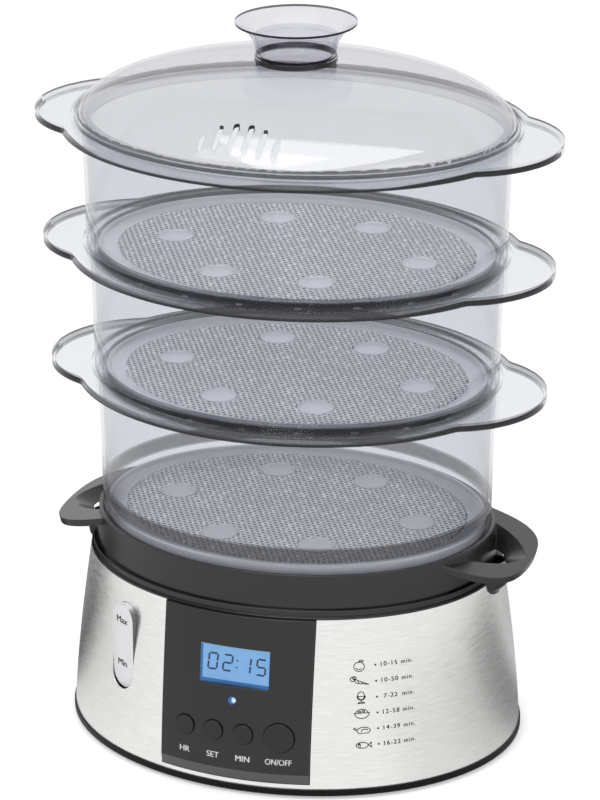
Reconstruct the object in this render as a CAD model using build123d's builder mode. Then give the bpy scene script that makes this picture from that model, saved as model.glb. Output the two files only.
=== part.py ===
from build123d import *
from math import atan, cos, radians, sin, sqrt
import os

# An electric food steamer: three clear bowls stacked on an oval base with a water tank.
# Origin: under the middle, on the surface it stands on. +Z up, control panel towards -Y.

# ------------------------------------------------------------------ driving sizes, in mm

# Every ring of the steamer is an oval: its half width is its half length less this.
oval_step = 20.0
fit_gap = 0.4
slide_gap = 0.3
flush_gap = 0.05

# Base plate, feet and steel skirt. The skirt's top edge sets every other oval.
foot_gap = 1.5
ring_height = 4.0
ring_over = 0.8
ring_edge = 0.8
plate_floor = 2.5
lip_height, lip_wall = 4.0, 2.0
skirt_top_half, skirt_flare = 113.7, 10.3
skirt_height = 93.0
skirt_bulge = 1.35
skirt_wall = 0.8
foot_radius, foot_seat = 9.0, 1.0
foot_inset_x, foot_inset_y = 48.8, 38.8
vent_length, vent_width, vent_pitch, vent_count, vent_y = 26.0, 2.5, 7.0, 7, 56.0

# Water tank with its side fill cups
tank_wall = 2.2
tank_mouth_inset, tank_rim_over, tank_ledge_inset = 5.3, 3.9, 0.2
tank_ledge, tank_rim_height = 1.0, 4.5
tank_step_inset, tank_step_depth = 5.9, 8.5
tank_floor_inset, tank_floor_gap = 5.5, 4.4
post_radius, post_inset, post_y = 4.0, 35.0, 46.0
cup_over, cup_belly_over = 7.3, 5.8
cup_half_width, cup_depth, cup_belly = 19.0, 10.0, 3.5
cup_wall = 1.8

# Heater, sealed into the tank floor
heater_hole_radius, heater_radius, heater_plate_wall = 29.0, 36.0, 2.0
dish_radius, dish_depth = 27.5, 7.0
gasket_height = 1.5
coil_radius, coil_tube, coil_turn = 18.0, 3.3, 300.0
bracket_width, bracket_half, bracket_wall = 16.0, 34.0, 2.0
stud_radius, stud_length = 2.5, 14.0
nut_across, nut_height = 8.0, 4.0
blade_width, blade_wall, blade_length = 6.3, 0.8, 12.0
thermostat_radius, thermostat_height = 8.0, 7.0
fuse_radius, fuse_length = 2.2, 12.0
booster_radius, booster_wall, booster_height = 43.0, 2.0, 40.0
arch_width, arch_height, arch_count = 14.0, 8.0, 6

# Control panel, set into the front of the skirt. Drops are taken from the skirt's top.
panel_half_width, panel_wall, panel_proud = 41.4, 2.2, 1.5
panel_foot_gap, panel_bevel, panel_mid_drop = 2.8, 5.7, 46.5
display_width, display_height, display_drop = 38.5, 21.4, 27.9
display_sink, module_depth, module_border = 1.9, 4.9, 1.5
lamp_radius, lamp_x, lamp_drop, lamp_proud = 2.3, -0.4, 46.3, 0.6
button_drop = 63.9
small_button, large_button = 5.3, 8.0
hour_x, set_x, minute_x, power_x = -27.0, -10.4, 6.4, 25.6
button_proud, button_travel = 0.9, 0.6
button_flange, button_flange_wall, button_stem = 1.2, 0.8, 2.0
board_depth, board_wall = 12.3, 1.6
board_width, board_height, board_drop = 68.0, 64.0, 14.5
panel_post, panel_post_inset = 2.6, 3.2
switch_size, switch_height = 6.0, 3.3
plunger_radius, plunger_height = 1.7, 0.5
buzzer_radius, buzzer_height, buzzer_x, buzzer_drop = 6.0, 4.0, 24.0, 46.5

# Water gauge at the front left
gauge_angle = 41.0
gauge_width, gauge_height, gauge_drop = 17.0, 48.0, 34.4
gauge_proud, gauge_wall, gauge_seal = 0.6, 1.6, 1.2
gauge_reach = 34.0

# Power electronics under the tank, and the mains inlet
power_length, power_width, power_x_mid, power_y_mid = 46.0, 52.0, -66.0, 4.0
power_z, power_inset, power_post = 12.0, 4.0, 3.0
relay_size, relay_spot = (19.0, 15.5, 15.0), (-8.0, -11.0)
capacitor_size, capacitor_spot = (13.0, 6.0, 11.0), (11.0, -16.0)
core_size, core_spot = (24.0, 10.0, 19.0), (3.0, 12.0)
bobbin_length, bobbin_width, bobbin_inset = 16.0, 20.0, 2.0
inlet_radius, inlet_bore, inlet_flange, inlet_z = 5.5, 3.6, 8.0, 20.0
inlet_length, inlet_proud, inlet_flange_wall, inlet_slack = 12.0, 2.0, 2.0, 1.2

# Screws: self-tapping, pan head
screw_radius, screw_head, screw_head_height, screw_length = 1.5, 2.9, 1.2, 12.0
small_screw, small_head, small_head_height, small_length = 1.1, 2.1, 1.2, 5.0
head_taper = 12.0

# Drip tray, whose two scoop handles are the refill funnels
tray_wall, tray_height, tray_flare = 2.0, 18.5, 1.2
tray_floor, tray_floor_rise, tray_dish_lean = 2.0, 2.5, 6.0
spigot_height, spigot_wall = 4.0, 1.8
bowl_seat, bowl_seat_width = 3.5, 3.5
chimney_radius, chimney_wall, chimney_gap = 34.0, 2.0, 1.5
chimney_bars, bar_width, bar_height = 3, 3.0, 2.0
handle_root_inset, handle_root_depth, handle_drop, handle_tilt = 9.0, 9.5, 3.6, 14.3
handle_reach, handle_shoulder, handle_half_width, handle_fullness = 33.4, -8.0, 42.5, 0.75
handle_wall, handle_lip = 2.2, 1.6
funnel_reach, funnel_half_width, funnel_fullness = 29.4, 27.0, 0.42
funnel_foot_reach, funnel_foot_half_width = 17.5, 16.0
funnel_height, funnel_wall = 14.0, 1.8

# Bowls: each is a step smaller than the one over it, so the set nests in a cupboard
bowl_pitch, bowl_step = 69.0, 3.1
bowl_inset, low_bowl_height = 5.5, 84.0
bowl_taper, bowl_wall = 1.6, 2.0
flange_over, flange_plate, flange_lip, flange_lip_wall = 11.1, 2.2, 4.6, 1.8
upstand_height, upstand_wall = 2.6, 1.4
ear_over, ear_radius, ear_notch = 17.5, 52.0, 6.0
ledge_width, ledge_height = 5.0, 2.2
nest_depth, nest_wall = 6.0, 1.8
notch_width, notch_height, notch_drop, notch_count = 4.0, 1.6, 2.6, 22

# Grates, snapped into the bowls, with six smooth egg seats
grate_wall, grate_rim, grate_rim_height = 2.0, 1.8, 4.0
slot_length, slot_width = 15.0, 3.0
slot_pitch_x, slot_pitch_y, slot_rows, slot_columns = 21.0, 11.5, 13, 5
grate_border = 9.0
egg_radius, egg_rib, egg_height = 8.0, 1.2, 1.0
egg_x, egg_y, egg_end = 27.0, 46.5, 68.0

# Lid and knob
lid_over, lid_rim_wall = 3.8, 2.2
dome_inset, dome_height, dome_wall = 1.2, 33.4, 2.0
dome_angles = (0, 12, 25, 40, 55, 70, 83)
lid_spigot_height, lid_spigot_wall = 4.0, 1.8
steam_slot_width, steam_slot_pitch, steam_slot_inset = 3.0, 7.9, 5.0
steam_slot_lengths = (15.0, 13.0, 8.5)
collar_radius, collar_height = 21.6, 2.0
knob_foot, knob_neck, knob_reach = 21.0, 24.0, 31.8
knob_neck_height, knob_height, knob_wall, knob_dish, knob_edge = 11.0, 18.5, 2.0, 1.6, 1.2

# ------------------------------------------------------------------ places worked out

ring_top = foot_gap + ring_height
skirt_top = ring_top + skirt_height
skirt_foot_half = skirt_top_half + skirt_flare
ring_half = skirt_foot_half + ring_over
foot_x, foot_y = ring_half - foot_inset_x, ring_half - oval_step - foot_inset_y

tank_rim_top = skirt_top + tank_rim_height
tank_mouth_half = skirt_top_half - tank_mouth_inset
tank_rim_half = tank_mouth_half + tank_rim_over
tank_ledge_half = skirt_top_half - tank_ledge_inset
tank_step_half = tank_mouth_half - tank_step_inset
tank_floor_half = tank_step_half - tank_floor_inset
power_top = power_z + board_wall
tank_floor_z = power_top + core_size[2] + tank_floor_gap
heater_seat = tank_floor_z + tank_wall
post_x = tank_floor_half - post_inset

panel_foot_z = ring_top + panel_foot_gap
panel_mid_z = skirt_top - panel_mid_drop
display_z = skirt_top - display_drop
lamp_z = skirt_top - lamp_drop
button_z = skirt_top - button_drop
buzzer_z = skirt_top - buzzer_drop
board_mid = skirt_top - board_drop - board_height / 2
gauge_z = skirt_top - gauge_drop

tray_top = tank_rim_top + tray_height
low_bowl_z = tray_top - bowl_seat
bowls = ("lower", "middle", "upper")


def bowl_half(index):
    """Half length of a bowl's outside under its flange; 0 is the lowest bowl."""
    return skirt_top_half - bowl_inset + bowl_step * index


def flange_z(index):
    """Height of a bowl's flange."""
    return low_bowl_z + low_bowl_height + bowl_pitch * index


tray_mouth_half = bowl_half(0) - bowl_taper + fit_gap
tray_top_half = tray_mouth_half + tray_wall
tray_foot_half = tray_top_half + tray_flare
handle_root = tray_top_half - handle_root_inset

top_bowl = len(bowls) - 1
top_flange_z = flange_z(top_bowl)
lid_rim_half = bowl_half(top_bowl) + lid_over
dome_half = lid_rim_half - dome_inset


# ------------------------------------------------------------------ shared shapes


def skirt_half(height):
    """Half length of the skirt's outside at a height: it bulges towards the foot."""
    share = (height - ring_top) / skirt_height
    return skirt_top_half + (skirt_foot_half - skirt_top_half) * (1 - share**skirt_bulge)


def oval_face(half_length, height):
    """One level oval outline."""
    with BuildSketch(Plane.XY.offset(height)) as outline:
        Ellipse(half_length, half_length - oval_step)
    return outline.sketch.face()


def oval_loft(levels, mode=Mode.ADD, ruled=True):
    """Solid through ovals given as (half length, height) from the bottom up."""
    sections = [oval_face(half_length, height) for half_length, height in levels]
    loft(sections, ruled=ruled, mode=mode)


def oval_block(half_length, low, high, mode=Mode.ADD):
    """Straight oval block between two heights."""
    extrude(oval_face(half_length, low), amount=high - low, mode=mode)


def skirt_block(outward, low, high, mode=Mode.ADD):
    """Solid that follows the skirt's bulge, moved outwards by a distance."""
    heights = [low + (high - low) * step / 3 for step in range(4)]
    levels = [(skirt_half(height) + outward, height) for height in heights]
    oval_loft(levels, mode=mode, ruled=False)


def tank_block(outward, low=tank_floor_z, mode=Mode.ADD):
    """Solid that follows the tank's outside, moved outwards by a distance."""
    mouth = tank_mouth_half + tank_wall + outward
    levels = [
        (tank_floor_half + outward, low),
        (tank_step_half + outward, skirt_top - tank_step_depth),
        (mouth, skirt_top - tank_wall),
        (mouth, tank_rim_top),
    ]
    oval_loft(levels, mode=mode)


def lobe_face(side, height, inner, shoulder, reach, half_width):
    """Flat D outline at one end of the oval: straight flanks and one arc outside."""
    with BuildSketch(Plane.XY.offset(height)) as lobe:
        with BuildLine():
            Polyline(
                (side * shoulder, half_width),
                (side * inner, half_width),
                (side * inner, -half_width),
                (side * shoulder, -half_width),
            )
            ThreePointArc(
                (side * shoulder, -half_width),
                (side * reach, 0),
                (side * shoulder, half_width),
            )
        make_face()
    return lobe.sketch.face()


def round_block(plane, radius, height, mode=Mode.ADD):
    """Round block on a plane; a negative height goes against the plane's normal."""
    with BuildSketch(plane) as disc:
        Circle(radius)
    extrude(disc.sketch.face(), amount=height, mode=mode)


def screw(plane, radius, length, head, head_height):
    """Pan-head screw: the head seats on the plane, the shank goes against its normal."""
    round_block(plane, radius, -length)
    with BuildSketch(plane) as disc:
        Circle(head)
    extrude(disc.sketch.face(), amount=head_height, taper=head_taper)


def corners(x, y, half_x, half_y):
    """The four corners of a level rectangle about a centre."""
    return [(x + sx * half_x, y + sy * half_y) for sx in (-1, 1) for sy in (-1, 1)]


def keep(block, name):
    """Label a finished piece and write it."""
    block.part.label = name
    export_step(block.part, f"parts/{name}.step")


os.makedirs("parts", exist_ok=True)
foot_places = corners(0, 0, foot_x, foot_y)
post_places = corners(0, 0, post_x, post_y)
power_places = corners(
    power_x_mid, power_y_mid, power_length / 2 - power_inset, power_width / 2 - power_inset
)

# ------------------------------------------------------------------ base plate and feet

plate_top = foot_gap + plate_floor
lip_half = skirt_foot_half - skirt_wall - fit_gap
plate_inside_half = lip_half - fit_gap - lip_wall

with BuildPart() as base_plate:
    oval_block(ring_half, foot_gap, ring_top)
    chamfer(base_plate.faces().sort_by(Axis.Z)[0].edges(), ring_edge)
    oval_loft([(lip_half, ring_top), (lip_half - fit_gap, ring_top + lip_height)])
    oval_block(plate_inside_half, plate_top, ring_top + lip_height, mode=Mode.SUBTRACT)
    with BuildSketch(Plane.XY.offset(foot_gap)):
        with Locations((0, vent_y), (0, -vent_y)):
            with GridLocations(vent_pitch, vent_pitch, vent_count, 1):
                SlotOverall(vent_length, vent_width, rotation=90)
    extrude(amount=plate_floor, mode=Mode.SUBTRACT)
    for x, y in foot_places:
        seat = Plane((x, y, foot_gap))
        round_block(seat, foot_radius, foot_seat, mode=Mode.SUBTRACT)
    for x, y in post_places:
        hole = Plane((x, y, foot_gap))
        round_block(hole, screw_radius + slide_gap, plate_floor, mode=Mode.SUBTRACT)
    for x, y in power_places:
        post = Plane((x, y, power_z))
        round_block(post, power_post, plate_top - power_z)
        round_block(post, small_screw + flush_gap, -small_length, mode=Mode.SUBTRACT)
keep(base_plate, "base_plate")

with BuildPart() as rubber_feet:
    for x, y in foot_places:
        round_block(Plane((x, y, 0)), foot_radius - flush_gap, foot_gap + foot_seat)
keep(rubber_feet, "rubber_feet")

with BuildPart() as base_screws:
    for x, y in post_places:
        seat = Plane((x, y, foot_gap), z_dir=(0, 0, -1))
        screw(seat, screw_radius, screw_length, screw_head, screw_head_height)
keep(base_screws, "base_screws")

# ------------------------------------------------------------------ front planes

# The panel's front plane is upright and leans back with the skirt. Its local Y is up.
panel_lean = atan((skirt_half(button_z) - skirt_half(display_z)) / (display_z - button_z))
panel_out = Vector(0, -cos(panel_lean), sin(panel_lean))
panel_front = skirt_half(panel_mid_z) + panel_proud - oval_step
panel_plane = Plane((0, -panel_front, panel_mid_z), x_dir=(1, 0, 0), z_dir=panel_out)


def panel_at(x, height, depth=0.0):
    """Plane parallel to the panel's front, centred at x and a height, sunk by a depth."""
    rise = (height - panel_mid_z) / cos(panel_lean)
    spot = panel_plane.origin + panel_plane.x_dir * x + panel_plane.y_dir * rise
    return Plane(spot - panel_out * depth, x_dir=(1, 0, 0), z_dir=panel_out)


def panel_sag(x):
    """How far the panel's curved face falls back from its front plane at x."""
    half_length = skirt_half(button_z) + panel_proud
    half_width = half_length - oval_step
    return half_width * (1 - sqrt(1 - (x / half_length) ** 2))


# The gauge's plane touches the skirt and faces straight out of the oval.
gauge_half = skirt_half(gauge_z)
gauge_half_width = gauge_half - oval_step
gauge_turn = radians(gauge_angle)
gauge_radius = 1 / sqrt(
    (sin(gauge_turn) / gauge_half) ** 2 + (cos(gauge_turn) / gauge_half_width) ** 2
)
gauge_x = -gauge_radius * sin(gauge_turn)
gauge_y = -gauge_radius * cos(gauge_turn)
gauge_out = Vector(gauge_x / gauge_half**2, gauge_y / gauge_half_width**2, 0).normalized()
gauge_plane = Plane(
    (gauge_x, gauge_y, gauge_z), x_dir=Vector(0, 0, 1).cross(gauge_out), z_dir=gauge_out
)


def gauge_block(grow, start, length, mode=Mode.ADD):
    """Upright capsule on the gauge's plane, grown all round, from a depth inwards."""
    with BuildSketch(gauge_plane.offset(-start)) as capsule:
        SlotOverall(gauge_height + 2 * grow, gauge_width + 2 * grow, rotation=90)
    extrude(capsule.sketch.face(), amount=-length, mode=mode)


def cup_block(side, grow, mode=Mode.ADD):
    """Side fill cup of the tank, grown all round: it swells out over the skirt's edge."""
    inner = tank_step_half - oval_step
    shoulder = tank_mouth_half - cup_half_width / 4
    width = cup_half_width + grow
    levels = (
        (skirt_top - cup_depth - grow, tank_ledge_half),
        (skirt_top - cup_belly, skirt_top_half + cup_belly_over),
        (tank_rim_top, skirt_top_half + cup_over),
    )
    faces = [
        lobe_face(side, height, inner, shoulder, reach + grow, width)
        for height, reach in levels
    ]
    loft(faces, ruled=True, mode=mode)


# ------------------------------------------------------------------ steel skirt

with BuildPart() as steel_skirt:
    skirt_block(0, ring_top, skirt_top)
    skirt_block(-skirt_wall, ring_top, skirt_top, mode=Mode.SUBTRACT)
    with BuildSketch(Plane.XZ):
        with Locations((0, (panel_foot_z - slide_gap + skirt_top) / 2)):
            Rectangle(
                2 * (panel_half_width + slide_gap), skirt_top - panel_foot_z + slide_gap
            )
    extrude(amount=skirt_foot_half, mode=Mode.SUBTRACT)
    gauge_block(slide_gap, -gauge_width, gauge_width + gauge_reach, mode=Mode.SUBTRACT)
    for side in (-1, 1):
        cup_block(side, slide_gap, mode=Mode.SUBTRACT)
    round_block(
        Plane((0, 0, inlet_z), z_dir=(0, 1, 0)),
        inlet_radius + slide_gap,
        skirt_foot_half,
        mode=Mode.SUBTRACT,
    )
keep(steel_skirt, "steel_skirt")

with BuildPart() as cord_inlet:
    inlet_face = skirt_half(inlet_z) - oval_step
    inlet_out = Plane((0, inlet_face + inlet_proud, inlet_z), z_dir=(0, 1, 0))
    round_block(inlet_out, inlet_radius, -inlet_length)
    inlet_back = inlet_out.offset(-inlet_proud - skirt_wall - inlet_slack)
    round_block(inlet_back, inlet_flange, -inlet_flange_wall)
    round_block(inlet_out, inlet_bore, -inlet_length, mode=Mode.SUBTRACT)
keep(cord_inlet, "cord_inlet")

# ------------------------------------------------------------------ water tank

with BuildPart() as water_tank:
    tank_block(0)
    oval_block(tank_ledge_half, skirt_top, skirt_top + tank_ledge)
    oval_block(tank_rim_half, skirt_top + tank_ledge, tank_rim_top)
    for side in (-1, 1):
        cup_block(side, 0)
    for x, y in post_places:
        post = Plane((x, y, plate_top))
        round_block(post, post_radius, heater_seat - plate_top)
        round_block(post, screw_radius + flush_gap, screw_length, mode=Mode.SUBTRACT)
    tank_block(-tank_wall, low=heater_seat, mode=Mode.SUBTRACT)
    for side in (-1, 1):
        cup_block(side, -cup_wall, mode=Mode.SUBTRACT)
    hole = Plane.XY.offset(tank_floor_z)
    round_block(hole, heater_hole_radius, tank_wall, mode=Mode.SUBTRACT)
    gauge_block(-gauge_wall, 0, gauge_reach, mode=Mode.SUBTRACT)
keep(water_tank, "water_tank")

with BuildPart() as gauge_window:
    gauge_block(0, -gauge_proud, gauge_reach)
    gauge_block(-gauge_wall, gauge_wall - gauge_proud, gauge_reach, mode=Mode.SUBTRACT)
    tank_block(gauge_seal, mode=Mode.SUBTRACT)
keep(gauge_window, "gauge_window")

with BuildPart() as gauge_seal_ring:
    gauge_block(0, 0, gauge_reach)
    gauge_block(-gauge_wall, 0, gauge_reach, mode=Mode.SUBTRACT)
    tank_block(gauge_seal, mode=Mode.INTERSECT)
    tank_block(0, mode=Mode.SUBTRACT)
keep(gauge_seal_ring, "gauge_gasket")

# ------------------------------------------------------------------ heater

plate_seat = heater_seat + gasket_height
dish_under = plate_seat - dish_depth
coil_z = dish_under - coil_tube
bracket_top = coil_z - coil_tube
bracket_under = bracket_top - bracket_wall
coil_end = radians((360 - coil_turn) / 2)

with BuildPart() as heater_plate:
    round_block(Plane.XY.offset(plate_seat), heater_radius, heater_plate_wall)
    round_block(Plane.XY.offset(plate_seat), dish_radius, -dish_depth)
    dish = Plane.XY.offset(plate_seat + heater_plate_wall)
    round_block(dish, dish_radius - heater_plate_wall, -dish_depth, mode=Mode.SUBTRACT)
    round_block(Plane.XY.offset(dish_under), stud_radius, -stud_length)
keep(heater_plate, "heater_plate")

with BuildPart() as heater_gasket:
    seat = Plane.XY.offset(heater_seat)
    round_block(seat, heater_radius, gasket_height)
    round_block(seat, heater_hole_radius, gasket_height, mode=Mode.SUBTRACT)
keep(heater_gasket, "heater_gasket")

# The element is an open ring whose ends stand either side of +X.
with BuildPart() as heating_coil:
    start = Plane((0, 0, coil_z), x_dir=(cos(coil_end), sin(coil_end), 0), z_dir=(0, 0, 1))
    with BuildSketch(Plane(start.origin, x_dir=start.x_dir, z_dir=-start.y_dir)):
        with Locations((coil_radius, 0)):
            Circle(coil_tube)
    revolve(axis=Axis.Z, revolution_arc=coil_turn)
keep(heating_coil, "heating_coil")

with BuildPart() as heater_terminals:
    for side in (-1, 1):
        x = coil_radius * cos(coil_end)
        y = side * (coil_radius * sin(coil_end) + blade_wall)
        with BuildSketch(Plane.XY.offset(coil_z - coil_tube)):
            with Locations((x, y)):
                Rectangle(blade_width, blade_wall)
        extrude(amount=-blade_length)
keep(heater_terminals, "heater_terminals")

with BuildPart() as heater_bracket:
    with BuildSketch(Plane.XY.offset(bracket_under)):
        Rectangle(2 * bracket_half, bracket_width)
        Circle(stud_radius + flush_gap, mode=Mode.SUBTRACT)
    extrude(amount=bracket_wall)
    leg = (bracket_half + heater_hole_radius) / 2
    with BuildSketch(Plane.XY.offset(bracket_top)):
        with Locations((leg, 0), (-leg, 0)):
            Rectangle(bracket_half - heater_hole_radius, bracket_width)
    extrude(amount=tank_floor_z - bracket_top)
keep(heater_bracket, "heater_bracket")

with BuildPart() as heater_nut:
    with BuildSketch(Plane.XY.offset(bracket_under)):
        RegularPolygon(nut_across / 2, 6, major_radius=False)
        Circle(stud_radius + flush_gap, mode=Mode.SUBTRACT)
    extrude(amount=-nut_height)
keep(heater_nut, "heater_nut")

with BuildPart() as thermostat:
    cutout_x = (bracket_half + stud_radius) / 2
    round_block(Plane((cutout_x, 0, bracket_under)), thermostat_radius, -thermostat_height)
    with BuildSketch(Plane.XY.offset(bracket_under - thermostat_height)):
        with Locations((cutout_x, thermostat_radius / 2), (cutout_x, -thermostat_radius / 2)):
            Rectangle(blade_width, blade_wall)
    extrude(amount=-blade_length / 2)
keep(thermostat, "thermostat")

with BuildPart() as thermal_fuse:
    fuse_spot = (-bracket_half / 2, -fuse_length / 2, bracket_under - fuse_radius)
    round_block(Plane(fuse_spot, z_dir=(0, 1, 0)), fuse_radius, fuse_length)
keep(thermal_fuse, "thermal_fuse")

with BuildPart() as steam_booster:
    seat = Plane.XY.offset(heater_seat)
    round_block(seat, booster_radius, booster_height)
    round_block(seat, booster_radius - booster_wall, booster_height, mode=Mode.SUBTRACT)
    with BuildSketch(seat) as arches:
        with PolarLocations(booster_radius, arch_count):
            Rectangle(arch_width, arch_width)
    extrude(arches.sketch, amount=arch_height, mode=Mode.SUBTRACT)
keep(steam_booster, "steam_booster")

# ------------------------------------------------------------------ control panel

bevel_top = panel_foot_z + panel_bevel
panel_high = skirt_top - flush_gap
buttons = {
    "hour_button": (hour_x, small_button),
    "set_button": (set_x, small_button),
    "minute_button": (minute_x, small_button),
    "power_button": (power_x, large_button),
}
panel_posts = corners(
    0, board_mid, board_width / 2 - panel_post_inset, board_height / 2 - panel_post_inset
)

with BuildPart() as control_panel:
    skirt_block(panel_proud, bevel_top, panel_high)
    foot_level = (skirt_half(panel_foot_z), panel_foot_z)
    oval_loft([foot_level, (skirt_half(bevel_top) + panel_proud, bevel_top)])
    skirt_block(panel_proud - panel_wall, panel_foot_z, panel_high, mode=Mode.SUBTRACT)
    with Locations((0, -skirt_foot_half / 2, (panel_foot_z + panel_high) / 2)):
        Box(
            2 * panel_half_width,
            skirt_foot_half + 2 * panel_proud,
            panel_high - panel_foot_z,
            mode=Mode.INTERSECT,
        )
    for x, height in panel_posts:
        post = panel_at(x, height, board_depth)
        round_block(post, panel_post, board_depth - panel_sag(x) - panel_wall / 2)
        round_block(post, small_screw + flush_gap, small_length, mode=Mode.SUBTRACT)
    with BuildSketch(panel_at(0, display_z)) as opening:
        Rectangle(display_width, display_height)
    extrude(opening.sketch, amount=board_depth, both=True, mode=Mode.SUBTRACT)
    lamp_hole = panel_at(lamp_x, lamp_z, board_depth)
    round_block(lamp_hole, lamp_radius + flush_gap, 2 * board_depth, mode=Mode.SUBTRACT)
    for x, radius in buttons.values():
        hole = panel_at(x, button_z, board_depth)
        round_block(hole, radius + slide_gap, 2 * board_depth, mode=Mode.SUBTRACT)
keep(control_panel, "control_panel")

with BuildPart() as display_window:
    with BuildSketch(panel_at(0, display_z, display_sink)):
        Rectangle(display_width - 2 * flush_gap, display_height - 2 * flush_gap)
    extrude(amount=display_sink - module_depth)
keep(display_window, "display_window")

with BuildPart() as display_module:
    with BuildSketch(panel_at(0, display_z, module_depth)):
        Rectangle(display_width + 2 * module_border, display_height + 2 * module_border)
    extrude(amount=module_depth - board_depth)
keep(display_module, "display_module")

with BuildPart() as indicator_lamp:
    lamp_seat = panel_at(lamp_x, lamp_z, board_depth)
    round_block(lamp_seat, lamp_radius, board_depth + lamp_proud)
    fillet(indicator_lamp.faces().sort_by(Axis.Y)[0].edges(), lamp_radius / 2)
keep(indicator_lamp, "indicator_lamp")


def make_button(x, radius):
    """Push button: cap that follows the panel's curve, retaining flange and stem."""
    flange_radius = radius + button_flange
    flange_depth = panel_sag(abs(x) + flange_radius) + panel_wall + slide_gap
    plunger_depth = board_depth - switch_height - plunger_height
    stem_depth = plunger_depth - button_travel - 2 * flush_gap
    seat = panel_at(x, button_z, flange_depth)
    with BuildPart() as button:
        round_block(seat, radius, flange_depth + button_proud)
        skirt_block(panel_proud + button_proud, bevel_top, panel_high, mode=Mode.INTERSECT)
        round_block(seat, flange_radius, -button_flange_wall)
        round_block(seat, button_stem, flange_depth - stem_depth)
    return button


for name, (x, radius) in buttons.items():
    keep(make_button(x, radius), name)

with BuildPart() as control_board:
    with BuildSketch(panel_at(0, board_mid, board_depth)) as board:
        Rectangle(board_width, board_height / cos(panel_lean))
    extrude(amount=-board_wall)
    for x, height in panel_posts:
        hole = panel_at(x, height, board_depth)
        round_block(hole, small_screw + flush_gap, -board_wall, mode=Mode.SUBTRACT)
keep(control_board, "control_board")

with BuildPart() as panel_screws:
    for x, height in panel_posts:
        back = panel_at(x, height, board_depth + board_wall)
        seat = Plane(back.origin, x_dir=(1, 0, 0), z_dir=-panel_out)
        screw(seat, small_screw, small_length, small_head, small_head_height)
keep(panel_screws, "panel_screws")

with BuildPart() as push_switches:
    for x, radius in buttons.values():
        with BuildSketch(panel_at(x, button_z, board_depth)):
            Rectangle(switch_size, switch_size)
        extrude(amount=switch_height)
        top = panel_at(x, button_z, board_depth - switch_height)
        round_block(top, plunger_radius, plunger_height)
keep(push_switches, "push_switches")

with BuildPart() as buzzer:
    round_block(panel_at(buzzer_x, buzzer_z, board_depth), buzzer_radius, buzzer_height)
keep(buzzer, "buzzer")

# ------------------------------------------------------------------ power electronics

with BuildPart() as power_board:
    with BuildSketch(Plane.XY.offset(power_z)):
        with Locations((power_x_mid, power_y_mid)):
            Rectangle(power_length, power_width)
        with Locations(power_places):
            Circle(small_screw + flush_gap, mode=Mode.SUBTRACT)
    extrude(amount=board_wall)
keep(power_board, "power_board")

with BuildPart() as power_board_screws:
    for x, y in power_places:
        seat = Plane((x, y, power_top))
        screw(seat, small_screw, small_length, small_head, small_head_height)
keep(power_board_screws, "power_board_screws")


def board_block(size, spot):
    """Rectangular component standing on the power board."""
    length, width, height = size
    with BuildPart() as block:
        with BuildSketch(Plane.XY.offset(power_top)):
            with Locations((power_x_mid + spot[0], power_y_mid + spot[1])):
                Rectangle(length, width)
        extrude(amount=height)
        chamfer(block.faces().sort_by(Axis.Z)[-1].edges(), board_wall / 4)
    return block


keep(board_block(relay_size, relay_spot), "relay")
keep(board_block(capacitor_size, capacitor_spot), "mains_capacitor")

with BuildPart() as transformer:
    add(board_block(core_size, core_spot).part)
    with BuildSketch(Plane.XY.offset(power_top + bobbin_inset)):
        with Locations((power_x_mid + core_spot[0], power_y_mid + core_spot[1])):
            Rectangle(bobbin_length, bobbin_width)
    extrude(amount=core_size[2] - 2 * bobbin_inset)
keep(transformer, "transformer")

# ------------------------------------------------------------------ drip tray

tray_floor_z = tank_rim_top + tray_floor_rise
tray_seat_half = tray_mouth_half - bowl_seat_width
dish_half = tray_seat_half - tray_dish_lean
spigot_half = tank_mouth_half - fit_gap
chimney_top = low_bowl_z - chimney_gap


def scoop_plane(side, drop, tilt=0.0):
    """Plane at a handle's root, local X outwards and down by a tilt, under the tray's top."""
    lean = radians(tilt)
    return Plane(
        (side * handle_root, 0, tray_top - drop),
        x_dir=(side * cos(lean), 0, -sin(lean)),
        z_dir=(side * sin(lean), 0, cos(lean)),
    )


def scoop_face(plane, shoulder, reach, half_width, fullness):
    """D outline on a handle's plane: straight flanks and a nose of a given fullness."""
    nose = reach - shoulder
    with BuildSketch(plane) as outline:
        with BuildLine():
            for turn in (1, -1):
                width = turn * half_width
                Line((-handle_root_depth, 0), (-handle_root_depth, width))
                Line((-handle_root_depth, width), (shoulder, width))
                Bezier(
                    (shoulder, width),
                    (shoulder + nose * fullness, width),
                    (reach, width * fullness),
                    (reach, 0),
                )
        make_face()
    return outline.sketch.face()


def funnel_block(side, grow, mode=Mode.ADD):
    """Refill funnel through a handle: a D that narrows from the brim to a level foot."""
    mouth = scoop_face(
        scoop_plane(side, handle_drop, handle_tilt),
        0,
        funnel_reach + grow,
        funnel_half_width + grow,
        funnel_fullness,
    )
    foot = scoop_face(
        scoop_plane(side, funnel_height),
        0,
        funnel_foot_reach + grow,
        funnel_foot_half_width + grow,
        funnel_fullness,
    )
    loft([foot, mouth], ruled=True, mode=mode)


def handle_block(side):
    """Brim of a handle, a tilted D plate with a rim turned down along its edge."""
    top = scoop_plane(side, handle_drop, handle_tilt)
    brim = scoop_face(
        top, handle_shoulder, handle_reach, handle_half_width, handle_fullness
    )
    extrude(brim, amount=-handle_wall - handle_lip)
    under = scoop_face(
        top.offset(-handle_wall),
        handle_shoulder,
        handle_reach - handle_wall,
        handle_half_width - handle_wall,
        handle_fullness,
    )
    extrude(under, amount=-handle_lip, mode=Mode.SUBTRACT)


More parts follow.
